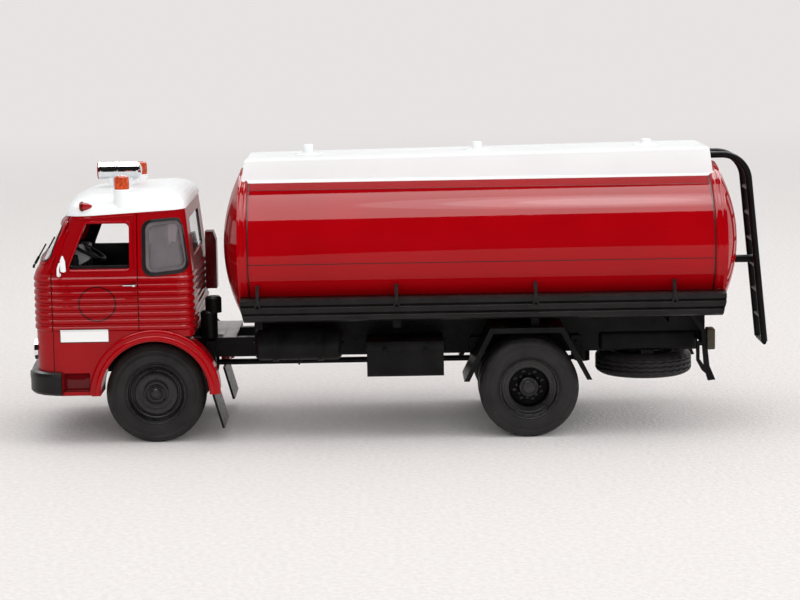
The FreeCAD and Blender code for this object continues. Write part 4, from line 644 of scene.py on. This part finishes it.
def rims():
    """Detailed rims over the plain ones."""
    well = rear_well_shade()
    for axle, body, shape in (("front_rim", "front_wheelset", front_rim()),
                              ("rear_rims", "rear_wheelset", rear_rim())):
        for word, side in SIDES:
            low, high = corners(f"{axle}_{word}")
            face = Vector(((low.x + high.x) / 2, outer(low, high, side), (low.z + high.z) / 2))
            outward = facing((0, side, 0))
            form = Form().add(shape, face, outward)
            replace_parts(piece(f"{axle}_detail_{word}", form, "rim_black", body), f"{axle}_{word}")
            if axle == "rear_rims":
                # Painted shade lines the well, darker than the rim's plastic.
                lining = Form().add(well, face, outward)
                piece(f"rear_well_shade_{word}", lining, "rim_black", body, material=WELL_SHADE_BLACK)


# Cab


def horn():
    """The siren: a plated drum with a rolled band and domed ends, and a red lip at its mouth."""
    low, high = corners("siren")
    radius = (high.y - low.y) / 2
    length = high.x - low.x
    mouth = Vector((low.x, (low.y + high.y) / 2, high.z - radius))
    drum = [(0, length)]
    for angle in (20, 40, 60, 75, 90):
        turn = math.radians(angle)
        drum.append((0.92 * radius * math.sin(turn), length - 1.5 + 1.5 * math.cos(turn)))
    band_and_mouth = [(0.92, 5.7), (0.96, 5.6), (1.0, 5.4), (1.0, 5.0), (0.96, 4.8), (0.92, 4.7), (0.92, 1.5),
                      (0.95, 1.1), (0.97, 0.9), (0.93, 0.6), (0.8, 0.5), (0.74, 0.9), (0, 1.6)]
    drum += [(share * radius, rise) for share, rise in band_and_mouth]
    form = Form().add(lathe(drum), mouth, facing((1, 0, 0)))
    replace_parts(piece("siren_horn", form, "bright_chrome"), "siren")
    lip = [(0.74, 0.85), (0.8, 0.4), (0.88, 0.3), (0.93, 0.5), (0.9, 0.62), (0.8, 0.6)]
    ring = Form().add(lathe([(share * radius, rise) for share, rise in lip]), mouth, facing((1, 0, 0)))
    piece("siren_lip", ring, "marker_red")
    feet = Form()
    for x in (low.x + 3.0, high.x - 3.6):
        feet.add(slab((x, -0.9, low.z), (x + 1.2, 0.9, mouth.z - 1.5), 0.2))
    piece("siren_feet", feet, "roof_white")


def beacons():
    """Ribbed amber caps, each in a white ring."""
    low, high = corners("beacon_lenses")
    radius = (high.x - low.x) / 2
    tall = high.z - low.z
    cap = [(0, 0), (radius - 0.1, 0), (radius, 0.15), (radius, tall - 0.9), (radius - 0.18, tall - 0.35),
           (radius - 0.55, tall - 0.05), (radius - 0.9, tall), (0, tall)]
    count = 48
    verts, faces = lathe(cap, count)
    for step in range(1, count, 2):
        for point in (2, 3, 4):
            x, y, z = verts[step * len(cap) + point]
            verts[step * len(cap) + point] = (x * 0.965, y * 0.965, z)
    ring = [(radius - 0.3, -0.1), (radius + 0.12, -0.1), (radius + 0.2, 0.05), (radius + 0.2, 0.35),
            (radius + 0.05, 0.5), (radius - 0.3, 0.5)]
    lens, rings = Form(), Form()
    for side in (-1, 1):
        foot = ((low.x + high.x) / 2, side * (high.y - radius), low.z)
        lens.add((verts, faces), foot)
        rings.add(lathe(ring), foot)
    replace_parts(piece("beacon_caps", lens, "beacon_amber", crease=20), "beacon_lenses")
    piece("beacon_rings", rings, "roof_white")


def marker_lamps():
    """Small red bullets on the roof's front corners, pointing back."""
    low, high = corners("roof_marker_lamps")
    bullet = [(0, 0), (0.85, 0), (1.05, 0.15), (1.12, 0.5), (1.1, 1.0), (0.95, 1.8), (0.6, 2.6), (0.25, 3.05),
              (0, 3.15)]
    cup = [(1.1, 0.35), (1.24, 0.35), (1.26, 0.6), (1.24, 0.9), (1.1, 0.9)]
    lamps, cups = Form(), Form()
    for side in (-1, 1):
        place = (low.x - 0.3, side * (high.y - 1.15), (low.z + high.z) / 2)
        lamps.add(lathe(bullet, 32), place, facing((1, 0, 0)))
        cups.add(lathe(cup, 32), place, facing((1, 0, 0)))
    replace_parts(piece("marker_lenses", lamps, "marker_red"), "roof_marker_lamps")
    piece("marker_cups", cups, "intake_red")


def mirrors():
    """Slim mirror heads that stand edge-on to the side, each on a stem with a round foot."""
    low, high = corners("mirrors")
    head = softened([(1.2, 1.5), (2.0, 1.3), (2.55, 1.5), (2.4, 4.0), (1.75, 5.8), (1.15, 4.2)], 0.25, 3)
    upright = Matrix(((1, 0, 0), (0, 0, -1), (0, 1, 0)))
    form = Form()
    for side in (-1, 1):
        y = side * (high.y - 0.42)
        form.add(plate(head, 0.7, 0.12), (low.x, y + 0.35, low.z), upright)
        foot = Vector((low.x + 0.55, side * 27.3, low.z + 0.55))
        bends = [(foot.x, y, foot.z)]
        bends += [(low.x + x, y, low.z + z) for x, z in ((0.6, 2.2), (1.0, 3.4), (1.5, 3.6))]
        form.add(tube([foot] + bends, 0.32))
        form.add(lathe([(0, 0), (0.55, 0), (0.5, 0.3), (0, 0.35)], 16), foot, facing((0, side, 0)))
    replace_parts(piece("mirror_heads", form, "roof_white"), "mirrors")


def door_trim():
    """Beads and dark seams along the door gaps, beads round the door windows and under the roof's edge."""
    skin = skin_of("cab_body")
    window = softened([(-21.3, 43.85), (-5.1, 43.85), (-5.1, 55.85), (-16.5, 55.85)], 1.3)
    lines = [([(-25.1 + shift, 43.4), (-20.9 + shift, 56.2)], 0.36) for shift in (-0.75, 0.45)]
    lines += [([(-3.6 + shift, 44.2), (-3.6 + shift, 57.4)], 0.32) for shift in (-0.42, 0.42)]
    lines += [([(-20.3, 56.55), (-4.1, 57.45)], 0.24), ([(-21.0, 57.0), (7.4, 58.45)], 0.2)]
    gaps = ([(-25.1, 18.6), (-25.1, 43.0), (-20.6, 56.8)], [(-3.6, 28.4), (-3.6, 57.6)])
    beads, seams = Form(), Form()
    for side in (-1, 1):
        for path, radius in lines:
            beads.add(flank_bead(skin, stepped(path), side, radius))
        beads.add(flank_bead(skin, closed(window), side, 0.32, True))
        for path in gaps:
            seams.add(tube(on_flank(skin, stepped(path, 0.4), side, 0.14, 20.0), 0.17, 6))
    piece("door_beads", beads, "body_red")
    piece("door_seams", seams, "intake_red")


def window_frames():
    """Wide rubber frames round the quarter windows and a thin bead round the windscreen."""
    skin = skin_of("cab_body", "quarter_seals", "quarter_glass")
    inner_path = softened([(-1.55, 43.0), (8.7, 44.05), (7.3, 56.15), (-1.55, 55.4)], 2.3)
    outer_path = softened([(-2.45, 42.0), (9.35, 43.2), (7.9, 56.9), (-2.45, 56.1)], 2.9)
    form = Form()
    for side in (-1, 1):
        form.add(flank_band(skin, inner_path, outer_path, side, 0.16))
    windscreen = softened([(-24.7, 46.1), (24.7, 46.1), (21.0, 54.9), (-21.0, 54.9)], 1.4)
    starts = [spot(-40, y, z) for y, z in closed(windscreen)]
    bead = laid(skin_of("cab_body", "windscreen_seal"), starts, (1, 0, 0), 0.05, 22.0)
    form.add(tube(bead, 0.2, 8, True))
    piece("window_frames", form, "seal_black")


def fender_rolls():
    """The rounded lip of each front fender and the soft root where it leaves the cab's side."""
    form = Form()
    arch_height = 12.6
    turns = [math.radians(180 * step / 48) for step in range(49)]
    for side in (-1, 1):
        for radius, out in ((14.35, 27.95), (15.75, 27.35)):
            arch = [spot(radius * math.cos(turn), side * out, arch_height + radius * math.sin(turn))
                    for turn in turns]
            form.add(tube(arch, 0.62, 12))
    piece("fender_rolls", form, "body_red")


def painted_step_shade():
    """Dark red slabs on each cab step, with its tread: the face is painted shade that stands for the step's
    sunk recess.
    """
    form = Form()
    for side in (-1, 1):
        for out, top in ((26.42, 18.1), (26.9, 14.1)):
            form.add(slab(spot(-22.8, side * 26.2, 13.6), spot(-16.3, side * out, top), 0.1))
    # The dark red of these slabs is painted shade of the step recesses.
    piece("painted_step_shade", form, "intake_red")


def wipers():
    """Wiper arms with a spring cover and a thin blade over the plain rods."""
    low, high = corners("wipers")
    form = Form()
    blade = Vector((0, 0.5, 0))
    for y in (low.y + 0.35, high.y - 0.35):
        foot = Vector((low.x + 0.35, y, low.z + 0.35))
        tip = Vector((high.x - 0.75, y, high.z - 0.15))
        along = (tip - foot).normalized()
        form.add(tube([foot, foot + along * 3.1, tip], 0.2))
        form.add(tube([foot + along * 0.9, foot + along * 2.9], 0.34, 12))
        form.add(lathe([(0, 0), (0.55, 0), (0.5, 0.5), (0, 0.6)], 20), foot + Vector((0.3, 0, 0)),
                 facing((-1, 0, 0.3)))
        form.add(tube([foot + along * 2.4 + blade, tip + blade], 0.16, 8))
        form.add(tube([foot + along * 4.6 - blade * 0.1, foot + along * 4.6 + blade], 0.16, 8))
    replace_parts(piece("wiper_arms", form, "interior_black"), "wipers")


def handles():
    """Lever handles with round escutcheons over the plain bars."""
    low, high = corners("door_handles")
    boss = [(0, 0), (0.55, 0), (0.5, 0.25), (0.28, 0.3), (0.28, 0.6), (0, 0.6)]
    form = Form()
    for side in (-1, 1):
        form.add(slab((low.x, side * (high.y - 0.45), low.z + 0.06),
                      (high.x, side * (high.y - 0.03), high.z - 0.02), 0.16))
        seat = (high.x - 0.5, side * (high.y - 0.75), (low.z + high.z) / 2)
        form.add(lathe(boss, 20), seat, facing((0, side, 0)))
    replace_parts(piece("door_levers", form, "bright_chrome"), "door_handles")


def headlamps():
    """Domed glasses in plated rims over the plain lamps; the glasses' opaque pale grey is a painted glint."""
    low, high = corners("headlamps")
    radius = (high.z - low.z) / 2
    rim = [(radius - 0.45, 0.1), (radius, 0.0), (radius, 0.35), (radius - 0.12, 0.68), (radius - 0.35, 0.72),
           (radius - 0.5, 0.5)]
    glass = [(0, 0.1), (radius - 0.42, 0.1), (radius - 0.42, 0.42), (radius - 0.8, 0.58), (radius / 2, 0.7),
             (0, 0.76)]
    rims_form, glasses = Form(), Form()
    for side in (-1, 1):
        place = (low.x + 0.75, side * (high.y - radius), (low.z + high.z) / 2)
        rims_form.add(lathe(rim), place, facing((-1, 0, 0)))
        glasses.add(lathe(glass), place, facing((-1, 0, 0)))
    piece("headlamp_rims", rims_form, "bright_chrome")
    piece("headlamp_glasses", glasses, "clear_glazing", material=GLINT_GREY_LENS)


def seats():
    """Driver's and mate's seats: rounded cushions with sewn channels, as moulded in the model."""
    low, high = corners("seats")
    half, seat_top, back_thick, gap = 6.0, 7.5, 2.4, 0.02
    form = Form()
    for side in (-1, 1):
        for number in range(4):
            left = side * (high.y - half) - half + 3 * number + gap
            right = left + 3 - 2 * gap
            form.add(slab((low.x, left, low.z), (high.x, right, low.z + seat_top), 0.7, 3))
            form.add(slab((high.x - back_thick, left, low.z + seat_top - 1.0), (high.x, right, high.z), 0.7, 3))
    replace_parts(piece("seat_cushions", form, "interior_black"), "seats")


def dashboard():
    """A rounded dashboard with a binnacle, dials, vents and a pedal box."""
    low, high = corners("dashboard")
    driver = -15.5
    form, dials = Form(), Form()
    form.add(slab((low.x, low.y, high.z - 7.5), high, 0.9, 3))
    form.add(slab((low.x, -4, low.z), (low.x + 3, 4, high.z - 6), 0.3))
    form.add(slab((high.x - 3.2, driver - 4.6, high.z - 4.0),
                  (high.x + 1.4, driver + 4.6, high.z + 1.2), 0.7, 3))
    for y in (2.0, 9.0, 16.0):
        form.add(slab((high.x - 0.2, y - 2.6, high.z - 5.4), (high.x + 0.25, y + 2.6, high.z - 3.0), 0.12))
    for y, radius in ((driver - 2.6, 1.4), (driver + 0.4, 1.4), (driver + 3.1, 0.9)):
        rim = [(0, 0.05), (radius - 0.2, 0.05), (radius - 0.1, 0.2), (radius, 0.2), (radius, 0), (0, 0)]
        dials.add(lathe(rim, 24), (high.x + 1.4, y, high.z - 1.2), facing((1, 0, 0)))
    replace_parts(piece("dash_moulding", form, "interior_black"), "dashboard")
    piece("dials", dials, "bright_chrome")


def column_box():
    """The grey steering box and pedals ahead of the driver, seen through the door window."""
    form = Form()
    lean = Matrix.Rotation(math.radians(-28), 3, "Y")
    for reach, edge, place in (((1.9, 1.6, 2.2), 0.35, spot(-19.0, -17.2, 46.8)),
                               ((0.6, 1.7, 1.2), 0.2, spot(-21.4, -17.2, 45.6))):
        form.add(slab(-Vector(reach), Vector(reach), edge), place, lean)
    piece("steering_box", form, "interior_black", material=GREY_MOULDING)


def door_linings():
    """Black door cards inside the doors, just under the windows."""
    form = Form()
    for side in (-1, 1):
        form.add(slab(spot(-20.6, side * 24.7, 31.0), spot(-5.0, side * 25.6, 45.0), 0.2))
    piece("door_cards", form, "interior_black")


# Tank and deck


TANK_LOW, TANK_HIGH = corners("tank_shell")
TANK_HALF = TANK_HIGH.y - 0.35
TANK_RISE = (TANK_HIGH.z - TANK_LOW.z) / 2 - 0.24
TANK_MIDDLE = (TANK_LOW.z + TANK_HIGH.z) / 2
TANK_FRONT = station(21.2)
TANK_REAR = station(143.2)


def tank_outline(turn, proud):
    """A YZ point of the tank's oval section, at an angle from the side and a height over its skin."""
    return (TANK_HALF + proud) * math.cos(turn), TANK_MIDDLE + (TANK_RISE + proud) * math.sin(turn)


def tank_hoop(section):
    """A hoop about the tank, from a section of (X, height over the skin)."""
    turns = 128
    verts = []
    for turn in range(turns):
        verts += [(x, *tank_outline(2 * math.pi * turn / turns, proud)) for x, proud in section]
    return verts, ring_faces(len(section), turns, False)


def tank_band(near, far):
    """A rounded band about the tank between two stations."""
    rise, sunk, steps = 0.42, 0.02, 10
    shares = [2 * step / steps - 1 for step in range(steps + 1)]
    return tank_hoop([((near + far + share * (far - near)) / 2, rise * math.sqrt(1 - share * share) - sunk)
                      for share in shares])


def tank_seams():
    """The rolled bands at the tank's ends, the dark joints inside them and the seams along the flanks."""
    bands, joints = Form(), Form()
    for near, far in ((0.1, 1.2), (1.3, 2.4)):
        bands.add(tank_band(TANK_FRONT + near, TANK_FRONT + far))
    for near, far in ((3.0, 1.6), (1.5, 0.1)):
        bands.add(tank_band(TANK_REAR - near, TANK_REAR - far))
    for x in (TANK_FRONT + 2.62, TANK_REAR - 3.18):
        joints.add(tank_hoop([(x - 0.16, -0.1), (x - 0.16, 0.04), (x + 0.16, 0.04), (x + 0.16, -0.1)]))
    for side in (-1, 1):
        for turn, half in ((math.radians(-7.7), 0.0046), (math.radians(51.8), 0.003)):
            ends = []
            for x in (TANK_FRONT + 2.5, TANK_REAR - 3.0):
                corner_points = [tank_outline(turn + step, proud) for step, proud in
                                 ((-half, -0.1), (-half, 0.035), (half, 0.035), (half, -0.1))]
                ends.append([(x, side * across, up) for across, up in corner_points])
            joints.add(bar(*ends))
    piece("tank_bands", bands, "body_red", crease=60)
    piece("tank_joints", joints, "intake_red", material=materials["seal_black"])


def hatches():
    """Manhole lids: a flange with bolts, a low lid and a knob, seated on the sloping walkway."""
    low, high = corners("hatches")
    deck = skin_of("walkway")
    form = Form()
    for x in (low.x + 3.5, (low.x + high.x) / 2, high.x - 3.5):
        base = laid(deck, [(x, 0, high.z + 10)], (0, 0, -1))[0].z - 0.06
        top = high.z - base
        profile = [(0, 0), (3.5, 0), (3.5, 0.14), (3.35, 0.22), (2.9, 0.24), (2.8, 0.3), (2.1, 0.36),
                   (1.5, 0.44), (1.38, 0.6), (1.38, top - 0.35), (1.26, top - 0.1), (1.05, top), (0, top)]
        form.add(lathe(profile, 64), (x, 0, base))
        for along, across in around(8, 3.12, 22.5):
            form.add(bolt(0.2, 0.2), (x + along, across, base + 0.2))
    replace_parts(piece("hatch_lids", form, "roof_white"), "hatches")


def deck_edges():
    """A white flange along both feet of the walkway, laid on the tank."""
    low, high = corners("walkway")
    form = Form()
    for side in (-1, 1):
        ends = []
        for x, wide in ((low.x + 0.05, 0.75), (high.x - 0.1, 0.45)):
            section = []
            for out, proud in ((-0.3, 0.5), (0.0, 0.5), (wide, 0.14), (wide, -0.5), (-0.3, -0.5)):
                turn = math.acos((high.y + out) / TANK_HALF)
                section.append((x, side * (high.y + out), tank_outline(turn, 0)[1] + proud))
            ends.append(section)
        form.add(bar(*ends))
    piece("deck_flanges", form, "roof_white")


# Chassis


def rail_bolts():
    """Rivets along the rails' webs, and the springs' hanger bolts and clamps."""
    form = Form()
    for word, side in SIDES:
        low, high = corners(f"frame_rail_{word}")
        for number in range(14):
            for z in (low.z + 1.1, high.z - 1.1):
                place = (low.x + 8 + 11.6 * number, outer(low, high, side), z)
                form.add(rivet(0.24), place, facing((0, side, 0)))
    for node in ("front_springs", "rear_springs"):
        low, high = corners(node)
        for side in (-1, 1):
            for x in (low.x + 1.2, high.x - 1.2):
                for z in (low.z + 3.3, high.z - 1.6):
                    form.add(bolt(0.5, 0.45), (x, side * high.y, z), facing((0, side, 0)))
            for shift in (-1.3, 1.3):
                x = (low.x + high.x) / 2 + shift
                form.add(slab((x - 0.35, side * (high.y + 0.15), low.z - 0.2),
                              (x + 0.35, side * (high.y - 2.65), low.z + 3.0), 0.15))
    piece("frame_fasteners", form, "chassis_black")


def drive_shaft():
    """The propeller shaft as a slim tube with a joint at each end."""
    low, high = corners("propshaft")
    height = (low.z + high.z) / 2
    form = Form().add(tube([(low.x, 0, high.z - 0.85), (high.x, 0, high.z - 0.85)], 0.75, 24))
    for x, way in ((low.x, 1), (high.x, -1)):
        for radius, near, far in ((1.1, 0.0, 0.6), (1.1, 0.9, 1.5), (0.95, 1.5, 2.6)):
            form.add(tube([(x + way * near, 0, height), (x + way * far, 0, height)], radius, 24))
    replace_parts(piece("drive_shaft", form, "chassis_black"), "propshaft")


def boxes():
    """A lid and catches on the battery box, straps and a cap on the fuel tank."""
    form = Form()
    low, high = corners("battery_box")
    form.add(slab((low.x - 0.12, low.y - 0.12, high.z - 2.2), (high.x + 0.12, high.y - 3, high.z + 0.15), 0.3))
    for x in (low.x + 4.5, high.x - 4.5):
        form.add(slab((x - 0.6, low.y - 0.45, high.z - 3.4), (x + 0.6, low.y, high.z - 1.2), 0.15))
    low, high = corners("fuel_tank")
    for x in (low.x + 4.0, high.x - 4.0):
        form.add(slab((x - 0.7, low.y + 3, low.z - 0.15), (x + 0.7, high.y + 0.15, high.z + 0.15), 0.2))
    cap = [(0, 0), (1.5, 0), (1.5, 0.6), (1.25, 0.9), (0, 1.0)]
    form.add(lathe(cap, 32), ((low.x + high.x) / 2 + 5, high.y - 3.2, high.z))
    piece("box_fittings", form, "chassis_black")


def air_fittings():
    """A drain cock and pipe stubs on the air tank."""
    low, high = corners("air_tank")
    y, z = low.y + 4.4, (low.z + high.z) / 2
    form = Form()
    for x, way in ((low.x + 0.05, -1), (high.x - 0.05, 1)):
        form.add(bolt(0.6, 0.7), (x, y, z), facing((way, 0, 0)))
    cock = [(0, 0), (0.5, 0), (0.5, 0.8), (0.25, 0.9), (0.25, 1.4), (0, 1.4)]
    form.add(lathe(cock, 16), ((low.x + high.x) / 2, y, low.z + 0.45), facing((0, 0, -1)))
    piece("air_fittings", form, "chassis_black")


def guard_edges():
    """Stay bolts on the rear mudguards."""
    form = Form()
    for word, side in SIDES:
        low, high = corners(f"rear_mudguard_{word}")
        across = outer(low, high, side) - side * 3
        for shift in (-6.2, 5.8):
            form.add(bolt(0.45, 0.35), ((low.x + high.x) / 2 + shift, across, high.z))
    piece("guard_bolts", form, "chassis_black")


def tail_lamps():
    """Olive-brown lenses over the lamp blocks of the rear stays."""
    form = Form()
    for centre in (-20.0, 20.0):
        form.add(slab(spot(138.72, centre - 2.1, 20.7), spot(140.75, centre + 2.1, 26.0), 0.35, 3))
    piece("tail_lenses", form, "marker_red", material=OLIVE_LENS)


def tail_rails():
    """The rounded outer faces of the frame's tail, over the spare wheel."""
    low, high = corners("frame_rail_right")
    form = Form()
    for side in (-1, 1):
        form.add(slab((station(112.4), side * (high.y + 0.8), low.z - 0.1),
                      (high.x - 0.2, side * (high.y - 1.6), high.z + 0.1), 1.1, 5))
    piece("tail_rails", form, "chassis_black")


def frame_plate():
    """The pale plate across the frame behind the cab, stepped on the left and turned down on the right."""
    top = corners("frame_rail_right")[1].z
    form = Form()
    for front, rear, left in ((-49.6, -45.7, -6.4), (-45.75, -42.2, -10.2)):
        form.add(slab((front, left, top + 0.02), (rear, 17.0, top + 0.42), 0.12))
    form.add(slab((-49.6, 16.4, top - 2.2), (-42.2, 17.0, top + 0.4), 0.12))
    piece("frame_plate", form, "chassis_black", material=PLATE_GREY)


def carrier_bolt():
    """The centre bolt and clamp plate of the spare wheel."""
    low, high = corners("spare_wheel")
    centre = (low + high) / 2
    form = Form()
    dish = [(0, 0), (6.4, 0), (6.6, -0.3), (5.4, -0.5), (4.9, -1.2), (0, -1.3)]
    form.add(lathe(dish), (centre.x, centre.y, low.z + 1.9))
    form.add(bolt(0.9, 0.9), (centre.x, centre.y, low.z + 0.9), facing((0, 0, -1)))
    for x, y in around(8, 3.0):
        form.add(bolt(0.35, 0.3), (centre.x + x, centre.y + y, low.z + 0.65), facing((0, 0, -1)))
    piece("carrier_clamp", form, "chassis_black")


# The photographer's table, in metres


def backdrop_share(tree, near, far):
    """How much of the paper shows its own colour: none near the model, all of it far behind."""
    spread = add_node(tree, "MapRange", {"Value": axes_of(tree)[1], "From Min": near, "From Max": far},
                      interpolation_type="SMOOTHSTEP")
    seen = add_node(tree, "LightPath", {}).outputs
    direct = calculate(tree, "MAXIMUM", seen["Is Camera Ray"], seen["Is Glossy Ray"])
    through = calculate(tree, "MAXIMUM", direct, seen["Is Transmission Ray"])
    return calculate(tree, "MULTIPLY", through, spread.outputs["Result"])


def table_end(tree):
    """1 where gloss meets the paper past the table's front edge, which runs away to the right."""
    x, y, _ = axes_of(tree)
    in_front = calculate(tree, "LESS_THAN", y, -0.3)
    past = calculate(tree, "LESS_THAN", calculate(tree, "MULTIPLY_ADD", x, 8.0, y), -0.65)
    glossy = add_node(tree, "LightPath", {}).outputs["Is Glossy Ray"]
    return calculate(tree, "MULTIPLY", calculate(tree, "MULTIPLY", in_front, past), glossy)


def over(tree, shader, share, colour):
    """A shader with a plain glow of one colour over a share of it."""
    glow = add_node(tree, "Emission", {"Color": colour}).outputs["Emission"]
    return add_node(tree, "MixShader", {0: share, 1: shader, 2: glow}).outputs["Shader"]


def paper():
    """Pale matt paper with a fine grain, which keeps an even tone far behind the model."""
    material, tree, shader = new_material("pale_paper")
    feed(tree, shader, {
        "Base Color": blend_colours(tree, noise(tree, 700, detail=5), (0.80, 0.775, 0.765), (0.86, 0.84, 0.83)),
        "Roughness": 0.9,
        "Specular IOR Level": 0.1,
        "Normal": bump(tree, noise(tree, 900, detail=4), 0.0001),
    })
    sheet = over(tree, shader.outputs["BSDF"], backdrop_share(tree, 0.25, 1.2), (0.80, 0.77, 0.765))
    whole = over(tree, sheet, table_end(tree), (0.012, 0.012, 0.012))
    feed(tree, tree.nodes["Material Output"], {"Surface": whole})
    return material


def table():
    """A pale floor that curves up into a backdrop."""
    reach, start, sweep, rise, steps = 6.0, 1.6, 0.9, 2.5, 16
    profile = [(-reach, 0.0), (-1.0, 0.0), (0.5, 0.0), (start, 0.0)]
    for step in range(1, steps + 1):
        angle = math.radians(90) * step / steps
        profile.append((start + sweep * math.sin(angle), sweep * (1 - math.cos(angle))))
    profile.append((start + sweep, rise))
    verts = [(x, y, z) for y, z in profile for x in (-reach, reach)]
    faces = [(2 * row, 2 * row + 1, 2 * row + 3, 2 * row + 2) for row in range(len(profile) - 1)]
    mesh = bpy.data.meshes.new("table")
    mesh.from_pydata(verts, [], faces)
    mesh.shade_smooth()
    mesh.materials.append(paper())
    in_scene("table", mesh)


def softbox(name, place, aim, size, radiance, seen, shape="RECTANGLE", turn=0.0):
    """A lamp that looks at a point, seen in diffuse light or in gloss; its radiance is that of its face."""
    width, depth = size
    lamp = bpy.data.lights.new(name, "AREA")
    lamp.shape = shape
    lamp.size, lamp.size_y = width, depth
    lamp.energy = radiance * math.pi * width * depth * (math.pi / 4 if shape == "ELLIPSE" else 1)
    thing = in_scene(name, lamp)
    thing.location = place
    lie = (Vector(aim) - Vector(place)).to_track_quat("-Z", "Y").to_matrix()
    thing.rotation_euler = (Matrix.Rotation(math.radians(turn), 3, "Z") @ lie).to_euler()
    thing.visible_glossy = seen == "gloss"
    thing.visible_diffuse = seen == "diffuse"


def room_light(tree):
    """Soft light for the paint's own colour, a dim room in reflections and a pale one behind glass."""
    seen = add_node(tree, "LightPath", {}).outputs
    plain = calculate(tree, "MAXIMUM", seen["Is Camera Ray"], seen["Is Transmission Ray"])
    raised = calculate(tree, "MULTIPLY_ADD", plain, 0.8 - ROOM, ROOM)
    return calculate(tree, "MULTIPLY_ADD", seen["Is Glossy Ray"], 0.012 - ROOM, raised)


def studio():
    """Soft light from above, from the front and from the right, in a dim room."""
    world = bpy.data.worlds.new("room")
    world.use_nodes = True
    tree = world.node_tree
    feed(tree, tree.nodes["Background"], {"Color": (1.0, 0.985, 0.98), "Strength": room_light(tree)})
    bpy.context.scene.world = world
    softbox("overhead", (0.05, -0.03, 0.9), (0.05, -0.03, 0), (1.6, 0.7), 0.75, "diffuse")
    softbox("front_fill", (0.2, -1.7, 0.6), (0.05, 0, 0.04), (2.2, 1.1), 1.85, "diffuse")
    softbox("side_fill", (1.6, -0.4, 0.45), (0.3, 0.1, 0), (0.8, 0.8), 3.4, "diffuse")
    softbox("overhead_gleam", (0.12, -0.03, 0.88), (0.12, -0.03, 0), (1.7, 0.68), 5.8, "gloss", turn=17)
    for size, height, radiance in (((0.30, 0.34), 0.863, 2.4), ((0.20, 0.25), 0.862, 3.0),
                                   ((0.11, 0.16), 0.8611, 3.6)):
        softbox("hot_spot", (0.13, -0.05, height), (0.13, -0.05, 0), size, radiance, "gloss", "ELLIPSE")
    softbox("back_gleam", (0.0, 0.83, 0.9), (0, 0, 0.05), (1.6, 0.5), 8.0, "gloss")


def camera():
    """The photograph's camera: about 0.6 m away, looking a little down."""
    yaw, pitch, roll = math.radians(0.3542), math.radians(7.9269), math.radians(-0.9085)
    ahead = Vector((math.sin(yaw) * math.cos(pitch), math.cos(yaw) * math.cos(pitch), -math.sin(pitch)))
    right = Vector((math.cos(yaw), -math.sin(yaw), 0))
    up = right.cross(ahead)
    level = math.cos(roll) * right + math.sin(roll) * up
    upright = -math.sin(roll) * right + math.cos(roll) * up
    view = bpy.data.cameras.new("camera")
    view.sensor_width = 36.0
    view.lens = 104.47
    view.clip_start, view.clip_end = 0.01, 50
    thing = in_scene("camera", view)
    turn = Matrix((level, upright, -ahead)).transposed().to_4x4()
    thing.matrix_world = Matrix.Translation((-0.003812, -0.599129, 0.115001)) @ turn
    bpy.context.scene.camera = thing


for dress in (
    tyres, rims, horn, beacons, marker_lamps, mirrors, door_trim, window_frames, fender_rolls, painted_step_shade,
    wipers, handles, headlamps, seats, dashboard, column_box, door_linings, tank_seams, hatches, deck_edges,
    rail_bolts, drive_shaft, boxes, air_fittings, guard_edges, tail_lamps, tail_rails, frame_plate,
    carrier_bolt,
):
    dress()

table()
studio()
camera()
bpy.context.scene.view_settings.view_transform = "Standard"
